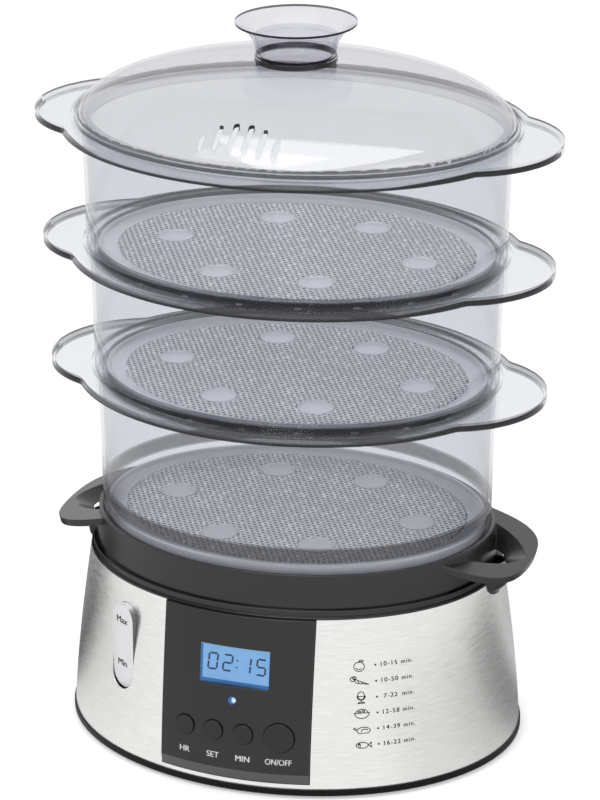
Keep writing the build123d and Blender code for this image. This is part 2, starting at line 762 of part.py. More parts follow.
with BuildPart() as drip_tray:
    for side in (-1, 1):
        handle_block(side)
        funnel_block(side, funnel_wall)
        funnel_block(side, 0, mode=Mode.SUBTRACT)
    oval_loft([(tray_foot_half, tank_rim_top), (tray_top_half, tray_top)])
    oval_block(spigot_half, tank_rim_top - spigot_height, tank_rim_top)
    spigot_inside = spigot_half - spigot_wall
    spigot_top = tank_rim_top + spigot_wall
    oval_block(spigot_inside, tank_rim_top - spigot_height, spigot_top, mode=Mode.SUBTRACT)
    cavity_foot = (tray_foot_half - tray_wall, spigot_top)
    cavity_top = (tray_top_half - tray_wall, low_bowl_z - tray_floor)
    oval_loft([cavity_foot, cavity_top], mode=Mode.SUBTRACT)
    dish_foot = (dish_half + tray_wall, tray_floor_z)
    oval_loft([dish_foot, (tray_seat_half + tray_wall, low_bowl_z)])
    oval_block(tray_mouth_half, low_bowl_z, tray_top, mode=Mode.SUBTRACT)
    dish_floor = (dish_half, tray_floor_z + tray_floor)
    oval_loft([dish_floor, (tray_seat_half, low_bowl_z)], mode=Mode.SUBTRACT)
    floor = Plane.XY.offset(tray_floor_z)
    round_block(floor, chimney_radius, chimney_top - tray_floor_z)
    bore = chimney_radius - chimney_wall
    round_block(floor, bore, chimney_top - tray_floor_z, mode=Mode.SUBTRACT)
    with BuildSketch(Plane.XY.offset(chimney_top - bar_height)) as bars:
        with PolarLocations(0, chimney_bars, angular_range=180, endpoint=False):
            Rectangle(2 * chimney_radius - chimney_wall, bar_width)
    extrude(bars.sketch, amount=bar_height)
keep(drip_tray, "drip_tray")

# ------------------------------------------------------------------ bowls and grates


def flange_block(half_length, reach, low, high, shrink, mode=Mode.ADD):
    """Flange outline with an ear at each end, its notches rounded, between two heights."""
    with BuildSketch(Plane.XY.offset(low)) as outline:
        Ellipse(half_length - shrink, half_length - oval_step - shrink)
        with Locations((reach - ear_radius, 0), (ear_radius - reach, 0)):
            Circle(ear_radius - shrink)
    block = extrude(outline.sketch, amount=high - low, mode=Mode.PRIVATE)
    notches = block.edges().filter_by(Axis.Z)
    notches = [edge for edge in notches if abs(edge.center().Y) > ear_notch]
    add(block.fillet(ear_notch + shrink, notches), mode=mode)


def floor_ring(index, foot_z):
    """Half length inside the ring that holds a bowl's grate, and its underside's height."""
    if index:
        nest_half = bowl_half(index - 1) - bowl_wall - fit_gap
        return nest_half - nest_wall, foot_z - nest_depth
    return bowl_half(index) - bowl_taper - bowl_wall, foot_z


def drain_notches(half_length, height):
    """Cut small windows through a foot ring, evenly round its oval."""
    for step in range(notch_count):
        turn = radians(360 * (step + 1 / 2) / notch_count)
        spot = (half_length * cos(turn), (half_length - oval_step) * sin(turn), height)
        outward = (cos(turn) / half_length, sin(turn) / (half_length - oval_step), 0)
        with BuildSketch(Plane(spot, x_dir=(0, 0, 1), z_dir=outward)) as window:
            Rectangle(notch_height, notch_width)
        extrude(window.sketch, amount=nest_wall, both=True, mode=Mode.SUBTRACT)


def make_bowl(index, foot_z, upstand_half):
    """Clear steam bowl: tapered wall, grate ring that nests below, eared flange."""
    half, top = bowl_half(index), flange_z(index)
    foot_half = half - bowl_taper
    ring_half, ring_low = floor_ring(index, foot_z)
    flange_half = half + flange_over
    reach = flange_half + ear_over
    ring_half_in = upstand_half + fit_gap
    with BuildPart() as bowl:
        flange_block(flange_half, reach, top - flange_lip, top, 0)
        flange_block(
            flange_half,
            reach,
            top - flange_lip,
            top - flange_plate,
            flange_lip_wall,
            mode=Mode.SUBTRACT,
        )
        oval_block(ring_half_in + upstand_wall, top, top + upstand_height)
        oval_block(ring_half_in, top, top + upstand_height, mode=Mode.SUBTRACT)
        oval_loft([(foot_half, foot_z), (half, top)])
        wall_foot = (foot_half - bowl_wall, foot_z + ledge_height)
        oval_loft([wall_foot, (half - bowl_wall, top)], mode=Mode.SUBTRACT)
        ledge_top = ring_low + ledge_height
        if ring_low < foot_z:
            oval_block(ring_half + nest_wall, ring_low, foot_z)
            oval_block(ring_half, ledge_top, foot_z + ledge_height, mode=Mode.SUBTRACT)
            drain_notches(ring_half + nest_wall / 2, foot_z - notch_drop)
        oval_block(ring_half - ledge_width, ring_low, ledge_top, mode=Mode.SUBTRACT)
    return bowl


egg_places = corners(0, 0, egg_x, egg_y) + [(egg_end, 0), (-egg_end, 0)]


def slot_places(half_length):
    """Staggered slot centres, clear of the grate's smooth border and its egg seats."""
    inside = half_length - grate_border
    clear_x, clear_y = egg_radius + slot_length / 2, egg_radius + slot_width / 2
    places = []
    for row in range(-(slot_rows // 2), slot_rows // 2 + 1):
        shift = slot_pitch_x / 2 if row % 2 else 0.0
        for column in range(-slot_columns, slot_columns + 1):
            x, y = column * slot_pitch_x + shift, row * slot_pitch_y
            far = abs(x) + slot_length / 2
            in_field = (far / inside) ** 2 + (y / (inside - oval_step)) ** 2 < 1
            on_seat = any(
                abs(x - egg[0]) < clear_x and abs(y - egg[1]) < clear_y for egg in egg_places
            )
            if in_field and not on_seat:
                places.append((x, y))
    return places


def make_grate(index, foot_z):
    """Slotted bowl floor with a raised rim and six egg seats, each a low ring."""
    ring_half, ring_low = floor_ring(index, foot_z)
    half = ring_half - fit_gap
    low = ring_low + ledge_height
    with BuildPart() as grate:
        oval_block(half, low, low + grate_rim_height)
        oval_block(half - grate_rim, low + grate_wall, low + grate_rim_height, Mode.SUBTRACT)
        with BuildSketch(Plane.XY.offset(low)) as slots:
            with Locations(slot_places(half)):
                Rectangle(slot_length, slot_width)
        extrude(slots.sketch, amount=grate_wall, mode=Mode.SUBTRACT)
        with BuildSketch(Plane.XY.offset(low + grate_wall)) as rings:
            with Locations(egg_places):
                Circle(egg_radius)
                Circle(egg_radius - egg_rib, mode=Mode.SUBTRACT)
        extrude(rings.sketch, amount=egg_height)
    return grate


for index, name in enumerate(bowls):
    foot_z = flange_z(index - 1) if index else low_bowl_z
    last = index == top_bowl
    rider_half = lid_rim_half if last else bowl_half(index + 1) - bowl_taper
    keep(make_bowl(index, foot_z, rider_half), f"{name}_bowl")
    keep(make_grate(index, foot_z), f"{name}_grate")

# ------------------------------------------------------------------ lid and knob


def dome_block(shrink, mode=Mode.ADD):
    """Flattened dome over the oval, shrunk all round for its inside."""
    sections = []
    for angle in dome_angles:
        share, rise = cos(radians(angle)), sin(radians(angle))
        height = top_flange_z + (dome_height - shrink) * rise
        with BuildSketch(Plane.XY.offset(height)) as section:
            half_width = dome_half - oval_step - shrink
            Ellipse((dome_half - shrink) * share, half_width * share)
        sections.append(section.sketch.face())
    loft(sections, mode=mode)


collar_top = top_flange_z + dome_height + collar_height
lid_spigot_half = bowl_half(top_bowl) - bowl_wall - fit_gap
steam_slot_end = dome_half - oval_step - steam_slot_inset

with BuildPart() as lid:
    oval_block(lid_rim_half, top_flange_z, top_flange_z + lid_rim_wall)
    dome_block(0)
    round_block(Plane.XY.offset(collar_top), collar_radius, -dome_height / 2)
    dome_block(dome_wall, mode=Mode.SUBTRACT)
    spigot_foot = top_flange_z - lid_spigot_height
    spigot_top = top_flange_z + lid_rim_wall
    oval_block(dome_half - dome_wall / 2, top_flange_z, spigot_top)
    oval_block(lid_spigot_half, spigot_foot, top_flange_z)
    spigot_inside = lid_spigot_half - lid_spigot_wall
    oval_block(spigot_inside, spigot_foot, spigot_top, mode=Mode.SUBTRACT)
    for place, length in enumerate(steam_slot_lengths):
        for side in (-1, 1):
            x = side * (place + 1 / 2) * steam_slot_pitch
            with BuildSketch(Plane.XY.offset(spigot_top)) as slot:
                with Locations((x, length / 2 - steam_slot_end)):
                    SlotOverall(length, steam_slot_width, rotation=90)
            extrude(slot.sketch, amount=dome_height, mode=Mode.SUBTRACT)
keep(lid, "lid")

with BuildPart() as lid_knob:
    with BuildSketch(Plane.XZ):
        with BuildLine():
            base, neck = collar_top, collar_top + knob_neck_height
            top = collar_top + knob_height
            Line((knob_foot - knob_wall, base), (knob_foot, base))
            Spline((knob_foot, base), (knob_neck, neck), (knob_reach, top - knob_edge))
            Line((knob_reach, top - knob_edge), (knob_reach, top))
            dish_curve = (knob_reach**2 + knob_dish**2) / (2 * knob_dish)
            RadiusArc((knob_reach, top), (0, top - knob_dish), dish_curve)
            Line((0, top - knob_dish), (0, top - knob_dish - knob_wall))
            Line((0, top - knob_dish - knob_wall), (knob_neck - knob_wall, neck))
            Line((knob_neck - knob_wall, neck), (knob_foot - knob_wall, base))
        make_face()
    revolve(axis=Axis.Z)
keep(lid_knob, "lid_knob")
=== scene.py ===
# %% [markdown]
# # An electric food steamer in its real finishes
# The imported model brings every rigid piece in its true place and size. This lesson gives
# them their real finishes: clear smoke-tinted plastic, brushed steel and satin black
# plastic. It then adds what is too fine for the solids: the perforated bowl floors, the
# printing on the steel and the panel, and the digits of the clock.

# %% Load the frame
import math

import bmesh
import bpy
from mathutils import Matrix, Vector
from mathutils.bvhtree import BVHTree


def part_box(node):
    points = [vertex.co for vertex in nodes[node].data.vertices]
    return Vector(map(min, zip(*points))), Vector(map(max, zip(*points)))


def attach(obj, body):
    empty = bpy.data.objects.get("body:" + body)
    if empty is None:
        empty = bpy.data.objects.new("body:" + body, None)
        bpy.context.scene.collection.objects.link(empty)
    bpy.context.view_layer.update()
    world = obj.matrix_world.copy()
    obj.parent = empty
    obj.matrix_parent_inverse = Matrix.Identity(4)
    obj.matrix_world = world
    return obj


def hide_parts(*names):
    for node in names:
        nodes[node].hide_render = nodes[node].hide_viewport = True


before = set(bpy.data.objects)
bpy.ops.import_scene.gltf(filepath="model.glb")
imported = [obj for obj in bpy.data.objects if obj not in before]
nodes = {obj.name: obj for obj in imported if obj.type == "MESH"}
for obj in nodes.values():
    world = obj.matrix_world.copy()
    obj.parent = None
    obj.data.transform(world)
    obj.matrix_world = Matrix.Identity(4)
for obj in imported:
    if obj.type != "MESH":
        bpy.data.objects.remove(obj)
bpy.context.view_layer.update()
MM = 0.001
print("solids in the frame:", len(nodes))

# %% [markdown]
# ## Small helpers
# A colour is written as the hex value a painter would pick. Blender mixes light in linear
# values, so one function turns hex into linear. Another adds a node with its settings and
# its links. The short ones after it stand for the nodes that come back most often.


# %% Helpers for colours and nodes
def linear(code):
    """Linear RGBA of an sRGB hex colour."""
    channels = [int(code[i : i + 2], 16) / 255 for i in (1, 3, 5)]
    powered = [c / 12.92 if c < 0.04045 else ((c + 0.055) / 1.055) ** 2.4 for c in channels]
    return (*powered, 1.0)


def add(tree, kind, inputs=None, **settings):
    """Add a node: settings are its properties, inputs are values or sockets to link."""
    node = tree.nodes.new(kind)
    for name, value in settings.items():
        setattr(node, name, value)
    for name, value in (inputs or {}).items():
        if isinstance(value, bpy.types.NodeSocket):
            tree.links.new(value, node.inputs[name])
        else:
            node.inputs[name].default_value = value
    return node


def maths(tree, a, b, operation):
    """Result of one maths node; those with one input leave b out of it."""
    return add(tree, "ShaderNodeMath", {0: a, 1: b}, operation=operation).outputs[0]


def mix(tree, factor, a, b):
    """Colour between two, each a hex colour, an RGBA or a socket."""
    a, b = (linear(end) if isinstance(end, str) else end for end in (a, b))
    ends = {"Factor": factor, "A": a, "B": b}
    return add(tree, "ShaderNodeMix", ends, data_type="RGBA").outputs[2]


def remap(tree, value, low, high, to_low=0.0, to_high=1.0, curve="LINEAR"):
    """Value stretched from one range to another, and held at its ends."""
    ranges = {"From Min": low, "From Max": high, "To Min": to_low, "To Max": to_high}
    node = add(tree, "ShaderNodeMapRange", {"Value": value, **ranges}, interpolation_type=curve)
    return node.outputs[0]


def noise(tree, place, scale, detail):
    """Cloudy noise, its scale in clouds per metre."""
    look = {"Vector": place, "Scale": scale, "Detail": detail}
    return add(tree, "ShaderNodeTexNoise", look).outputs["Fac"]


def axes(tree, vector):
    """The X, Y and Z of a vector."""
    return add(tree, "ShaderNodeSeparateXYZ", {0: vector}).outputs


def own_place(tree):
    """Place on the piece, in its own coordinates."""
    return add(tree, "ShaderNodeTexCoord").outputs["Object"]


def own_normal(tree):
    """Direction that a face really has, before any smoothing."""
    return add(tree, "ShaderNodeNewGeometry").outputs["True Normal"]


def new_material(name):
    """Empty node material, its tree and its output node."""
    material = bpy.data.materials.new(name)
    material.use_nodes = True
    material.node_tree.nodes.clear()
    tree = material.node_tree
    return material, tree, add(tree, "ShaderNodeOutputMaterial")


def dress(material, *names):
    """Give CAD nodes a material."""
    for name in names:
        nodes[name].data.materials.clear()
        nodes[name].data.materials.append(material)
    print(material.name, "on", ", ".join(names))


# %% [markdown]
# ## Camera
# The steamer is seen from a little to its right and from above, through a long lens from
# about two metres, which keeps the ovals nearly parallel. The lens is given on the long
# side of the picture, which is its height.

# %% Camera
distance, eye_height = 1898.6 * MM, 920.9 * MM
bearing, turn, pitch = math.radians(19.28), math.radians(19.22), math.radians(21.21)
camera_data = bpy.data.cameras.new("camera")
camera_data.lens = 171.3
camera_data.clip_end = 20.0
camera = bpy.data.objects.new("camera", camera_data)
camera.location = (
    distance * math.sin(bearing),
    -distance * math.cos(bearing),
    eye_height,
)
camera.rotation_euler = (math.pi / 2 - pitch, 0, turn)
bpy.context.scene.collection.objects.link(camera)
bpy.context.scene.camera = camera
print("camera at", [round(v, 3) for v in camera.location])

# %% [markdown]
# ## Studio
# White floor and white surroundings, a key softbox overhead and in front, one at the side,
# and a long overhead one that is seen in reflections only and makes the dome's highlight.
# Camera, glossy and transmitted rays see white, so steel and clear plastic pick up the
# white of the surroundings, while the light on the object stays plain.

# %% World and floor
scene = bpy.context.scene
scene.view_settings.view_transform = "Standard"
scene.cycles.transparent_max_bounces = 96

world = bpy.data.worlds.new("studio")
scene.world = world
world.use_nodes = True
tree = world.node_tree
tree.nodes.clear()
fill_strength = 0.62
rays = add(tree, "ShaderNodeLightPath").outputs
seen = maths(tree, rays["Is Camera Ray"], rays["Is Glossy Ray"], "ADD")
seen = maths(tree, seen, rays["Is Transmission Ray"], "ADD")
strength = remap(tree, seen, 0.0, 1.0, fill_strength, 1.0)
glow = add(tree, "ShaderNodeBackground", {"Color": (1, 1, 1, 1), "Strength": strength})
add(tree, "ShaderNodeOutputWorld", {"Surface": glow.outputs[0]})

floor_mesh = bpy.data.meshes.new("floor")
floor_reach, paper_glow = 8.0, 0.42
floor_mesh.from_pydata(
    [(x * floor_reach, y * floor_reach, 0) for x, y in ((-1, -1), (1, -1), (1, 1), (-1, 1))],
    [],
    [(0, 1, 2, 3)],
)
floor = bpy.data.objects.new("floor", floor_mesh)
scene.collection.objects.link(floor)
material, tree, output = new_material("matt_white_paper")
paper = add(tree, "ShaderNodeBsdfDiffuse", {"Color": linear("#fafafa")})
lift = add(tree, "ShaderNodeEmission", {"Color": linear("#ffffff"), "Strength": paper_glow})
both = add(tree, "ShaderNodeAddShader", {0: paper.outputs[0], 1: lift.outputs[0]})

# A painted reflection: glossy rays alone see the floor in painted tones, white in front,
# greyer to the right and dark behind on each side, so that polished metal shows darker flanks.
# The tones go by bearing: 0 and 1 are behind, 0.25 left, 0.5 front, 0.75 right.
painted_reflection_tones = (
    (0.0, 0.35),
    (0.19, 0.22),
    (0.225, 0.1),
    (0.25, 0.36),
    (0.268, 0.68),
    (0.3, 0.84),
    (0.38, 1.0),
    (0.62, 1.0),
    (0.66, 0.86),
    (0.7, 0.8),
    (0.725, 0.7),
    (0.755, 0.6),
    (0.785, 0.36),
    (0.81, 0.26),
    (0.835, 0.28),
    (0.87, 0.6),
    (1.0, 0.35),
)
where = axes(tree, own_place(tree))
ahead = maths(tree, where["Y"], -1.0, "MULTIPLY")
angle = maths(tree, where["X"], ahead, "ARCTAN2")
shade = add(tree, "ShaderNodeValToRGB", {0: remap(tree, angle, -math.pi, math.pi)})
stops = shade.color_ramp.elements
for stop, tone in zip(stops, (painted_reflection_tones[0][1], painted_reflection_tones[-1][1])):
    stop.color = (tone, tone, tone, 1)
for position, tone in painted_reflection_tones[1:-1]:
    stops.new(position).color = (tone, tone, tone, 1)
rays = add(tree, "ShaderNodeLightPath").outputs
# Only the skirt stands near enough to pick the greys up; the clear bowls above see white.
grey_reach, white_reach = 0.34, 0.42
far = remap(tree, rays["Ray Length"], grey_reach, white_reach, curve="SMOOTHSTEP")
tones = mix(tree, far, shade.outputs[0], (1, 1, 1, 1))
# Glossy rays meet these painted reflection tones instead of the lit paper.
mirrored = add(tree, "ShaderNodeEmission", {"Color": tones, "Strength": 1.0})
ends = {0: rays["Is Glossy Ray"], 1: both.outputs[0], 2: mirrored.outputs[0]}
either = add(tree, "ShaderNodeMixShader", ends)
tree.links.new(either.outputs[0], output.inputs["Surface"])
floor_mesh.materials.append(material)
print("floor", 2 * floor_reach, "m across")


# %% Lamps
def softbox(name, place, target, size, power, only_glossy=False):
    """Rectangular area lamp that faces a target."""
    lamp_data = bpy.data.lights.new(name, "AREA")
    lamp_data.shape = "RECTANGLE"
    lamp_data.size, lamp_data.size_y = size
    lamp_data.energy = power
    lamp = bpy.data.objects.new(name, lamp_data)
    lamp.location = place
    lamp.rotation_euler = (Vector(place) - Vector(target)).to_track_quat("Z", "Y").to_euler()
    lamp.visible_diffuse = not only_glossy
    lamp.visible_transmission = not only_glossy
    scene.collection.objects.link(lamp)


softbox("key", (-0.3, -0.9, 1.5), (0, 0, 0.2), (1.1, 1.1), 5.5)
softbox("side", (1.3, -0.8, 0.9), (0, 0, 0.2), (0.7, 0.9), 2.0)
softbox("overhead_glint", (0.2, -1.65, 1.5), (0.2, -1.65, 0), (1.4, 3.5), 48.0, only_glossy=True)

# %% [markdown]
# ## Clear smoke-tinted plastic
# The bowls, grates, lid and knob are injection-moulded clear styrene-acrylonitrile with a
# faint grey-lilac tint. Real refraction through nine thin walls would need many bounces
# and shows little, because thin parallel walls hardly bend light. So the wall is a
# see-through layer with a tint, under a gloss that grows towards grazing angles by
# Schlick's rule for an IOR of 1.49. Looking along a wall or into a cut edge passes more
# plastic, so the tint deepens with the facing angle, and edge faces get a deep tint.

# %% Clear plastic builder
plain_gloss, grazing_gloss, polish = 0.04, 0.9, 0.03
tint_power, schlick_power = 4.0, 5.0


def clear_plastic(name, face_tint, grazing_tint, edge_tint, is_edge, haze=None, shine=1.0, glow=0.0):
    """Clear plastic; is_edge(tree, place, up) gives a mask of cut edges.

    haze(tree, place, mask) gives how milky it is, shine scales the gloss seen face on, and
    glow is painted light: an even glow given to the milky places, though no lamp is inside.
    """
    material, tree, output = new_material(name)
    facing = add(tree, "ShaderNodeLayerWeight", {"Blend": 0.5}).outputs["Facing"]
    place = own_place(tree)
    up = maths(tree, axes(tree, own_normal(tree))["Z"], 0.0, "ABSOLUTE")
    tint = mix(tree, maths(tree, facing, tint_power, "POWER"), face_tint, grazing_tint)
    mask = is_edge(tree, place, up)
    through = add(tree, "ShaderNodeBsdfTransparent", {"Color": mix(tree, mask, tint, edge_tint)})
    schlick = maths(tree, facing, schlick_power, "POWER")
    gloss_share = remap(tree, schlick, 0.0, 1.0, plain_gloss * shine, grazing_gloss)
    gloss = add(tree, "ShaderNodeBsdfGlossy", {"Color": linear("#ffffff"), "Roughness": polish})
    body = through.outputs[0]
    if haze:
        milk = add(tree, "ShaderNodeBsdfDiffuse", {"Color": linear("#f8f8fb")})
        # Painted light: the milky places glow as if lit from inside.
        if glow:
            lit = add(tree, "ShaderNodeEmission", {"Color": linear("#f4f4fa"), "Strength": glow})
            milk = add(tree, "ShaderNodeAddShader", {0: milk.outputs[0], 1: lit.outputs[0]})
        share = haze(tree, place, mask)
        body = add(tree, "ShaderNodeMixShader", {0: share, 1: body, 2: milk.outputs[0]}).outputs[0]
    shell = add(tree, "ShaderNodeMixShader", {0: gloss_share, 1: body, 2: gloss.outputs[0]})
    tree.links.new(shell.outputs[0], output.inputs["Surface"])
    return material


oval_step = 20 * MM  # every oval of the steamer is this much less wide than long, by halves


def oval_radius(tree, place, half_length):
    """Squared radius of a place against an oval: 1 on the oval itself."""
    shares = (1 / half_length, 1 / (half_length - oval_step), 0)
    scaled = add(tree, "ShaderNodeVectorMath", {0: place, 1: shares}, operation="MULTIPLY").outputs[0]
    squared = add(tree, "ShaderNodeVectorMath", {0: scaled, 1: scaled}, operation="DOT_PRODUCT")
    return squared.outputs["Value"]


# %% [markdown]
# Bowl edges: the outer lip and the ears' rims stand beyond an oval of 116.5 mm, upright. A
# dark line runs along them, broad in front of the ears and thin elsewhere. The foot ring
# that nests in the bowl below is a double wall, so it gets a deeper tint.

# %% Bowls
lip_oval = 116.5 * MM
bowl_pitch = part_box("upper_bowl")[1].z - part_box("middle_bowl")[1].z
lid_sink = 4 * MM  # how far the lid reaches down inside the upper bowl's flange
rim_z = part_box("lid")[0].z + lid_sink
nest_low, nest_high, nest_body = 6 * MM, 2.2 * MM, 0.48
lip_height, lip_line, ear_line, lip_body = 4.7 * MM, 1.1 * MM, 3.0 * MM, 0.1
ear_start, ear_full = 78 * MM, 112 * MM


def bowl_edges(tree, place, up):
    """Upright faces outside the bowls' walls, and the nested foot rings."""
    where = axes(tree, place)
    outside = maths(tree, oval_radius(tree, place, lip_oval), 1.0, "GREATER_THAN")
    upright = maths(tree, up, 0.5, "LESS_THAN")
    above_foot = maths(tree, where["Z"], rim_z - lip_height, "SUBTRACT")
    above_foot = maths(tree, above_foot, bowl_pitch, "FLOORED_MODULO")
    aside = maths(tree, where["X"], 0.0, "ABSOLUTE")
    aside = maths(tree, aside, maths(tree, where["Y"], 0.0, "LESS_THAN"), "MULTIPLY")
    # On the back half of a flange the line runs along its top edge instead of its foot.
    behind = maths(tree, where["Y"], 0.0, "GREATER_THAN")
    above_foot = maths(tree, above_foot, maths(tree, behind, lip_height, "MULTIPLY"), "SUBTRACT")
    above_foot = maths(tree, above_foot, 0.0, "ABSOLUTE")
    width = remap(tree, aside, ear_start, ear_full, lip_line, ear_line)
    line = maths(tree, above_foot, width, "LESS_THAN")
    lip = maths(tree, line, lip_body, "MAXIMUM")
    lip = maths(tree, lip, outside, "MULTIPLY")
    lip = maths(tree, lip, upright, "MULTIPLY")
    level = maths(tree, where["Z"], rim_z - nest_low, "SUBTRACT")
    level = maths(tree, level, bowl_pitch, "FLOORED_MODULO")
    ring = maths(tree, level, nest_low + nest_high, "LESS_THAN")
    below_lid = maths(tree, where["Z"], rim_z - bowl_pitch / 2, "LESS_THAN")
    ring = maths(tree, ring, below_lid, "MULTIPLY")
    ring = maths(tree, ring, upright, "MULTIPLY")
    ring = maths(tree, ring, nest_body, "MULTIPLY")
    return maths(tree, lip, ring, "MAXIMUM")


bowl_plastic = clear_plastic("clear_san_bowls", "#f1f2f4", "#e6e7ea", "#36373f", bowl_edges)
dress(bowl_plastic, "lower_bowl", "middle_bowl", "upper_bowl")

# %% Lid and knob
slot_field = 100 * MM
lid_oval, rim_body = 115.4 * MM, 0.73


def lid_edges(tree, place, up):
    """Walls of the steam slots and the rim's cut edge."""
    steep = maths(tree, up, 0.3, "LESS_THAN")
    inside = maths(tree, oval_radius(tree, place, slot_field), 1.0, "LESS_THAN")
    rim = maths(tree, oval_radius(tree, place, lid_oval), 1.0, "GREATER_THAN")
    rim = maths(tree, rim, rim_body, "MULTIPLY")
    either = maths(tree, inside, rim, "MAXIMUM")
    return maths(tree, steep, either, "MULTIPLY")


knob_rim, knob_foot = 31.0 * MM, 1.2 * MM


def knob_edges(tree, place, up):
    """The knob's outer edge and the ring that it stands on."""
    flat = add(tree, "ShaderNodeVectorMath", {0: place, 1: (1, 1, 0)}, operation="MULTIPLY").outputs[0]
    radius = add(tree, "ShaderNodeVectorMath", {0: flat}, operation="LENGTH").outputs["Value"]
    edge = maths(tree, radius, knob_rim, "GREATER_THAN")
    foot = maths(tree, axes(tree, place)["Z"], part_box("lid_knob")[0].z + knob_foot, "LESS_THAN")
    either = maths(tree, edge, foot, "MAXIMUM")
    return maths(tree, either, maths(tree, up, 0.6, "LESS_THAN"), "MULTIPLY")


lid_plastic = clear_plastic("clear_san_lid", "#f4f4f5", "#dcdde2", "#2c2d35", lid_edges)
dress(lid_plastic, "lid")
knob_plastic = clear_plastic("clear_san_knob", "#f0f0f3", "#c9cad2", "#2e2f36", knob_edges, shine=0.5)
dress(knob_plastic, "lid_knob")


# %% [markdown]
# ## Satin black plastic
# The tray, tank, panel and base plate are black polypropylene with a fine spark-eroded
# grain. The grain is far below a millimetre, so it is drawn at 0.5 mm, as coarse as it
# needs to be to soften the reflections.


# %% Moulded plastics
plastic_clouds, rough_spread, under_tilt = 25.0, 0.05, -0.05


def moulded(name, colour, worn, roughness, grain_mm, bump_mm, edge_mm=0.3, shine=0.5, under=None):
    """Opaque moulded plastic: fine grain, slight variation in colour, rounded edges.

    under is painted light: another colour for faces that look down, as if lit by the floor.
    """
    material, tree, output = new_material(name)
    place = own_place(tree)
    grain = noise(tree, place, 1 / (grain_mm * MM), 1.0)
    shade = mix(tree, noise(tree, place, plastic_clouds, 2.0), colour, worn)
    # Painted light: faces that look down take the lighter under colour.
    if under:
        down = maths(tree, axes(tree, own_normal(tree))["Z"], under_tilt, "LESS_THAN")
        shade = mix(tree, down, shade, under)
    rough = remap(tree, grain, 0.0, 1.0, roughness - rough_spread, roughness + rough_spread)
    rounded = add(tree, "ShaderNodeBevel", {"Radius": edge_mm * MM}, samples=4).outputs[0]
    bump = add(
        tree,
        "ShaderNodeBump",
        {"Height": grain, "Strength": 0.25, "Distance": bump_mm * MM, "Normal": rounded},
    )
    shader = add(
        tree,
        "ShaderNodeBsdfPrincipled",
        {
            "Base Color": shade,
            "Roughness": rough,
            "Normal": bump.outputs[0],
            "IOR": 1.49,
            "Specular IOR Level": shine,
        },
    )
    tree.links.new(shader.outputs[0], output.inputs["Surface"])
    return material


black_plastic = moulded("black_polypropylene", "#0c0b0d", "#141315", 0.22, 0.5, 0.012, 0.5, 0.62)
dress(black_plastic, "water_tank", "drip_tray", "steam_booster", "cord_inlet")
base_plastic = moulded("matt_black_base", "#040405", "#070708", 0.42, 0.5, 0.012, 0.5, 0.15)
dress(base_plastic, "base_plate")
# Painted light: the panel's faces that look down, such as its lower bevel, get a lighter grey.
painted_floor_light = "#4b494c"
panel_plastic = moulded("black_abs_panel", "#161516", "#1b1a1b", 0.3, 0.5, 0.015, 0.6, under=painted_floor_light)
dress(panel_plastic, "control_panel")
button_plastic = moulded("black_abs_keys", "#0c0b0c", "#121112", 0.26, 0.5, 0.012, 0.5)
dress(button_plastic, "hour_button", "set_button", "minute_button", "power_button")

# %% [markdown]
# ## Brushed steel
# The skirt is a wrap of stainless steel, brushed along its length with a belt. The brush
# leaves fine level streaks some millimetres long and a tenth of a millimetre wide. At
# this size they are drawn 0.3 mm wide and 9 mm long, so that they show.

# %% Brushed steel skirt
material, tree, output = new_material("brushed_stainless_steel")
streak_length, streak_width, streak_depth = 9 * MM, 0.3 * MM, 0.006 * MM
streak_counts = (1 / streak_length, 1 / streak_length, 1 / streak_width)
stretched = add(tree, "ShaderNodeMapping", {"Vector": own_place(tree), "Scale": streak_counts})
streaks = noise(tree, stretched.outputs[0], 1.0, 3.0)
tone = remap(tree, streaks, 0.3, 0.7)
rough = remap(tree, tone, 0.0, 1.0, 0.2, 0.32)
bump = add(tree, "ShaderNodeBump", {"Height": streaks, "Strength": 0.12, "Distance": streak_depth})
steel = add(
    tree,
    "ShaderNodeBsdfPrincipled",
    {
        "Base Color": mix(tree, tone, "#e2e1df", "#f4f3f1"),
        "Metallic": 1.0,
        "Roughness": rough,
        "Normal": bump.outputs[0],
    },
)
tree.links.new(steel.outputs[0], output.inputs["Surface"])
dress(material, "steel_skirt")

# %% [markdown]
# ## Gauge window, display and lamp
# The gauge is a clear capsule that looks milky, because it bounces light about inside,
# and its right flank is painted dark as shade.
# The display is a backlit blue panel. The lamp is a domed clear lens with a blue light
# behind it, and a white highlight painted at its upper right.

# %% Gauge, display and lamp
gauge_turn = math.radians(-41.0)
gauge_half_x, gauge_half_y = 119.0 * MM, 99.0 * MM
gauge_out = Vector((math.sin(gauge_turn) / gauge_half_x, -math.cos(gauge_turn) / gauge_half_y, 0))
gauge_out.normalize()
gauge_across = Vector((-gauge_out.y, gauge_out.x, 0))


def gauge_shaded_flank(tree, place, up):
    """The capsule's right flank, painted dark as shade; it is also clearer, so the dark inside shows."""
    pair = {0: own_normal(tree), 1: tuple(gauge_across)}
    aside = add(tree, "ShaderNodeVectorMath", pair, operation="DOT_PRODUCT").outputs["Value"]
    return remap(tree, aside, 0.3, 0.75, curve="SMOOTHSTEP")


def gauge_haze(tree, place, mask):
    """Milky all over, but for the flank with painted shade."""
    return remap(tree, mask, 0.0, 1.0, milky, flank_milky)


milky, flank_milky = 0.74, 0.12
gauge_plastic = clear_plastic(
    "milky_gauge_window", "#f6f6f6", "#cfd0d6", "#3a3b42", gauge_shaded_flank, haze=gauge_haze
)
dress(gauge_plastic, "gauge_window")

material, tree, output = new_material("backlit_blue_display")
backlight_clouds = 90.0
backlight = mix(tree, noise(tree, own_place(tree), backlight_clouds, 1.0), "#6f9cc9", "#8db6d9")
screen = add(
    tree,
    "ShaderNodeBsdfPrincipled",
    {
        "Base Color": linear("#3f6c9c"),
        "Roughness": 0.15,
        "Emission Color": backlight,
        "Emission Strength": 0.62,
    },
)
tree.links.new(screen.outputs[0], output.inputs["Surface"])
dress(material, "display_window")

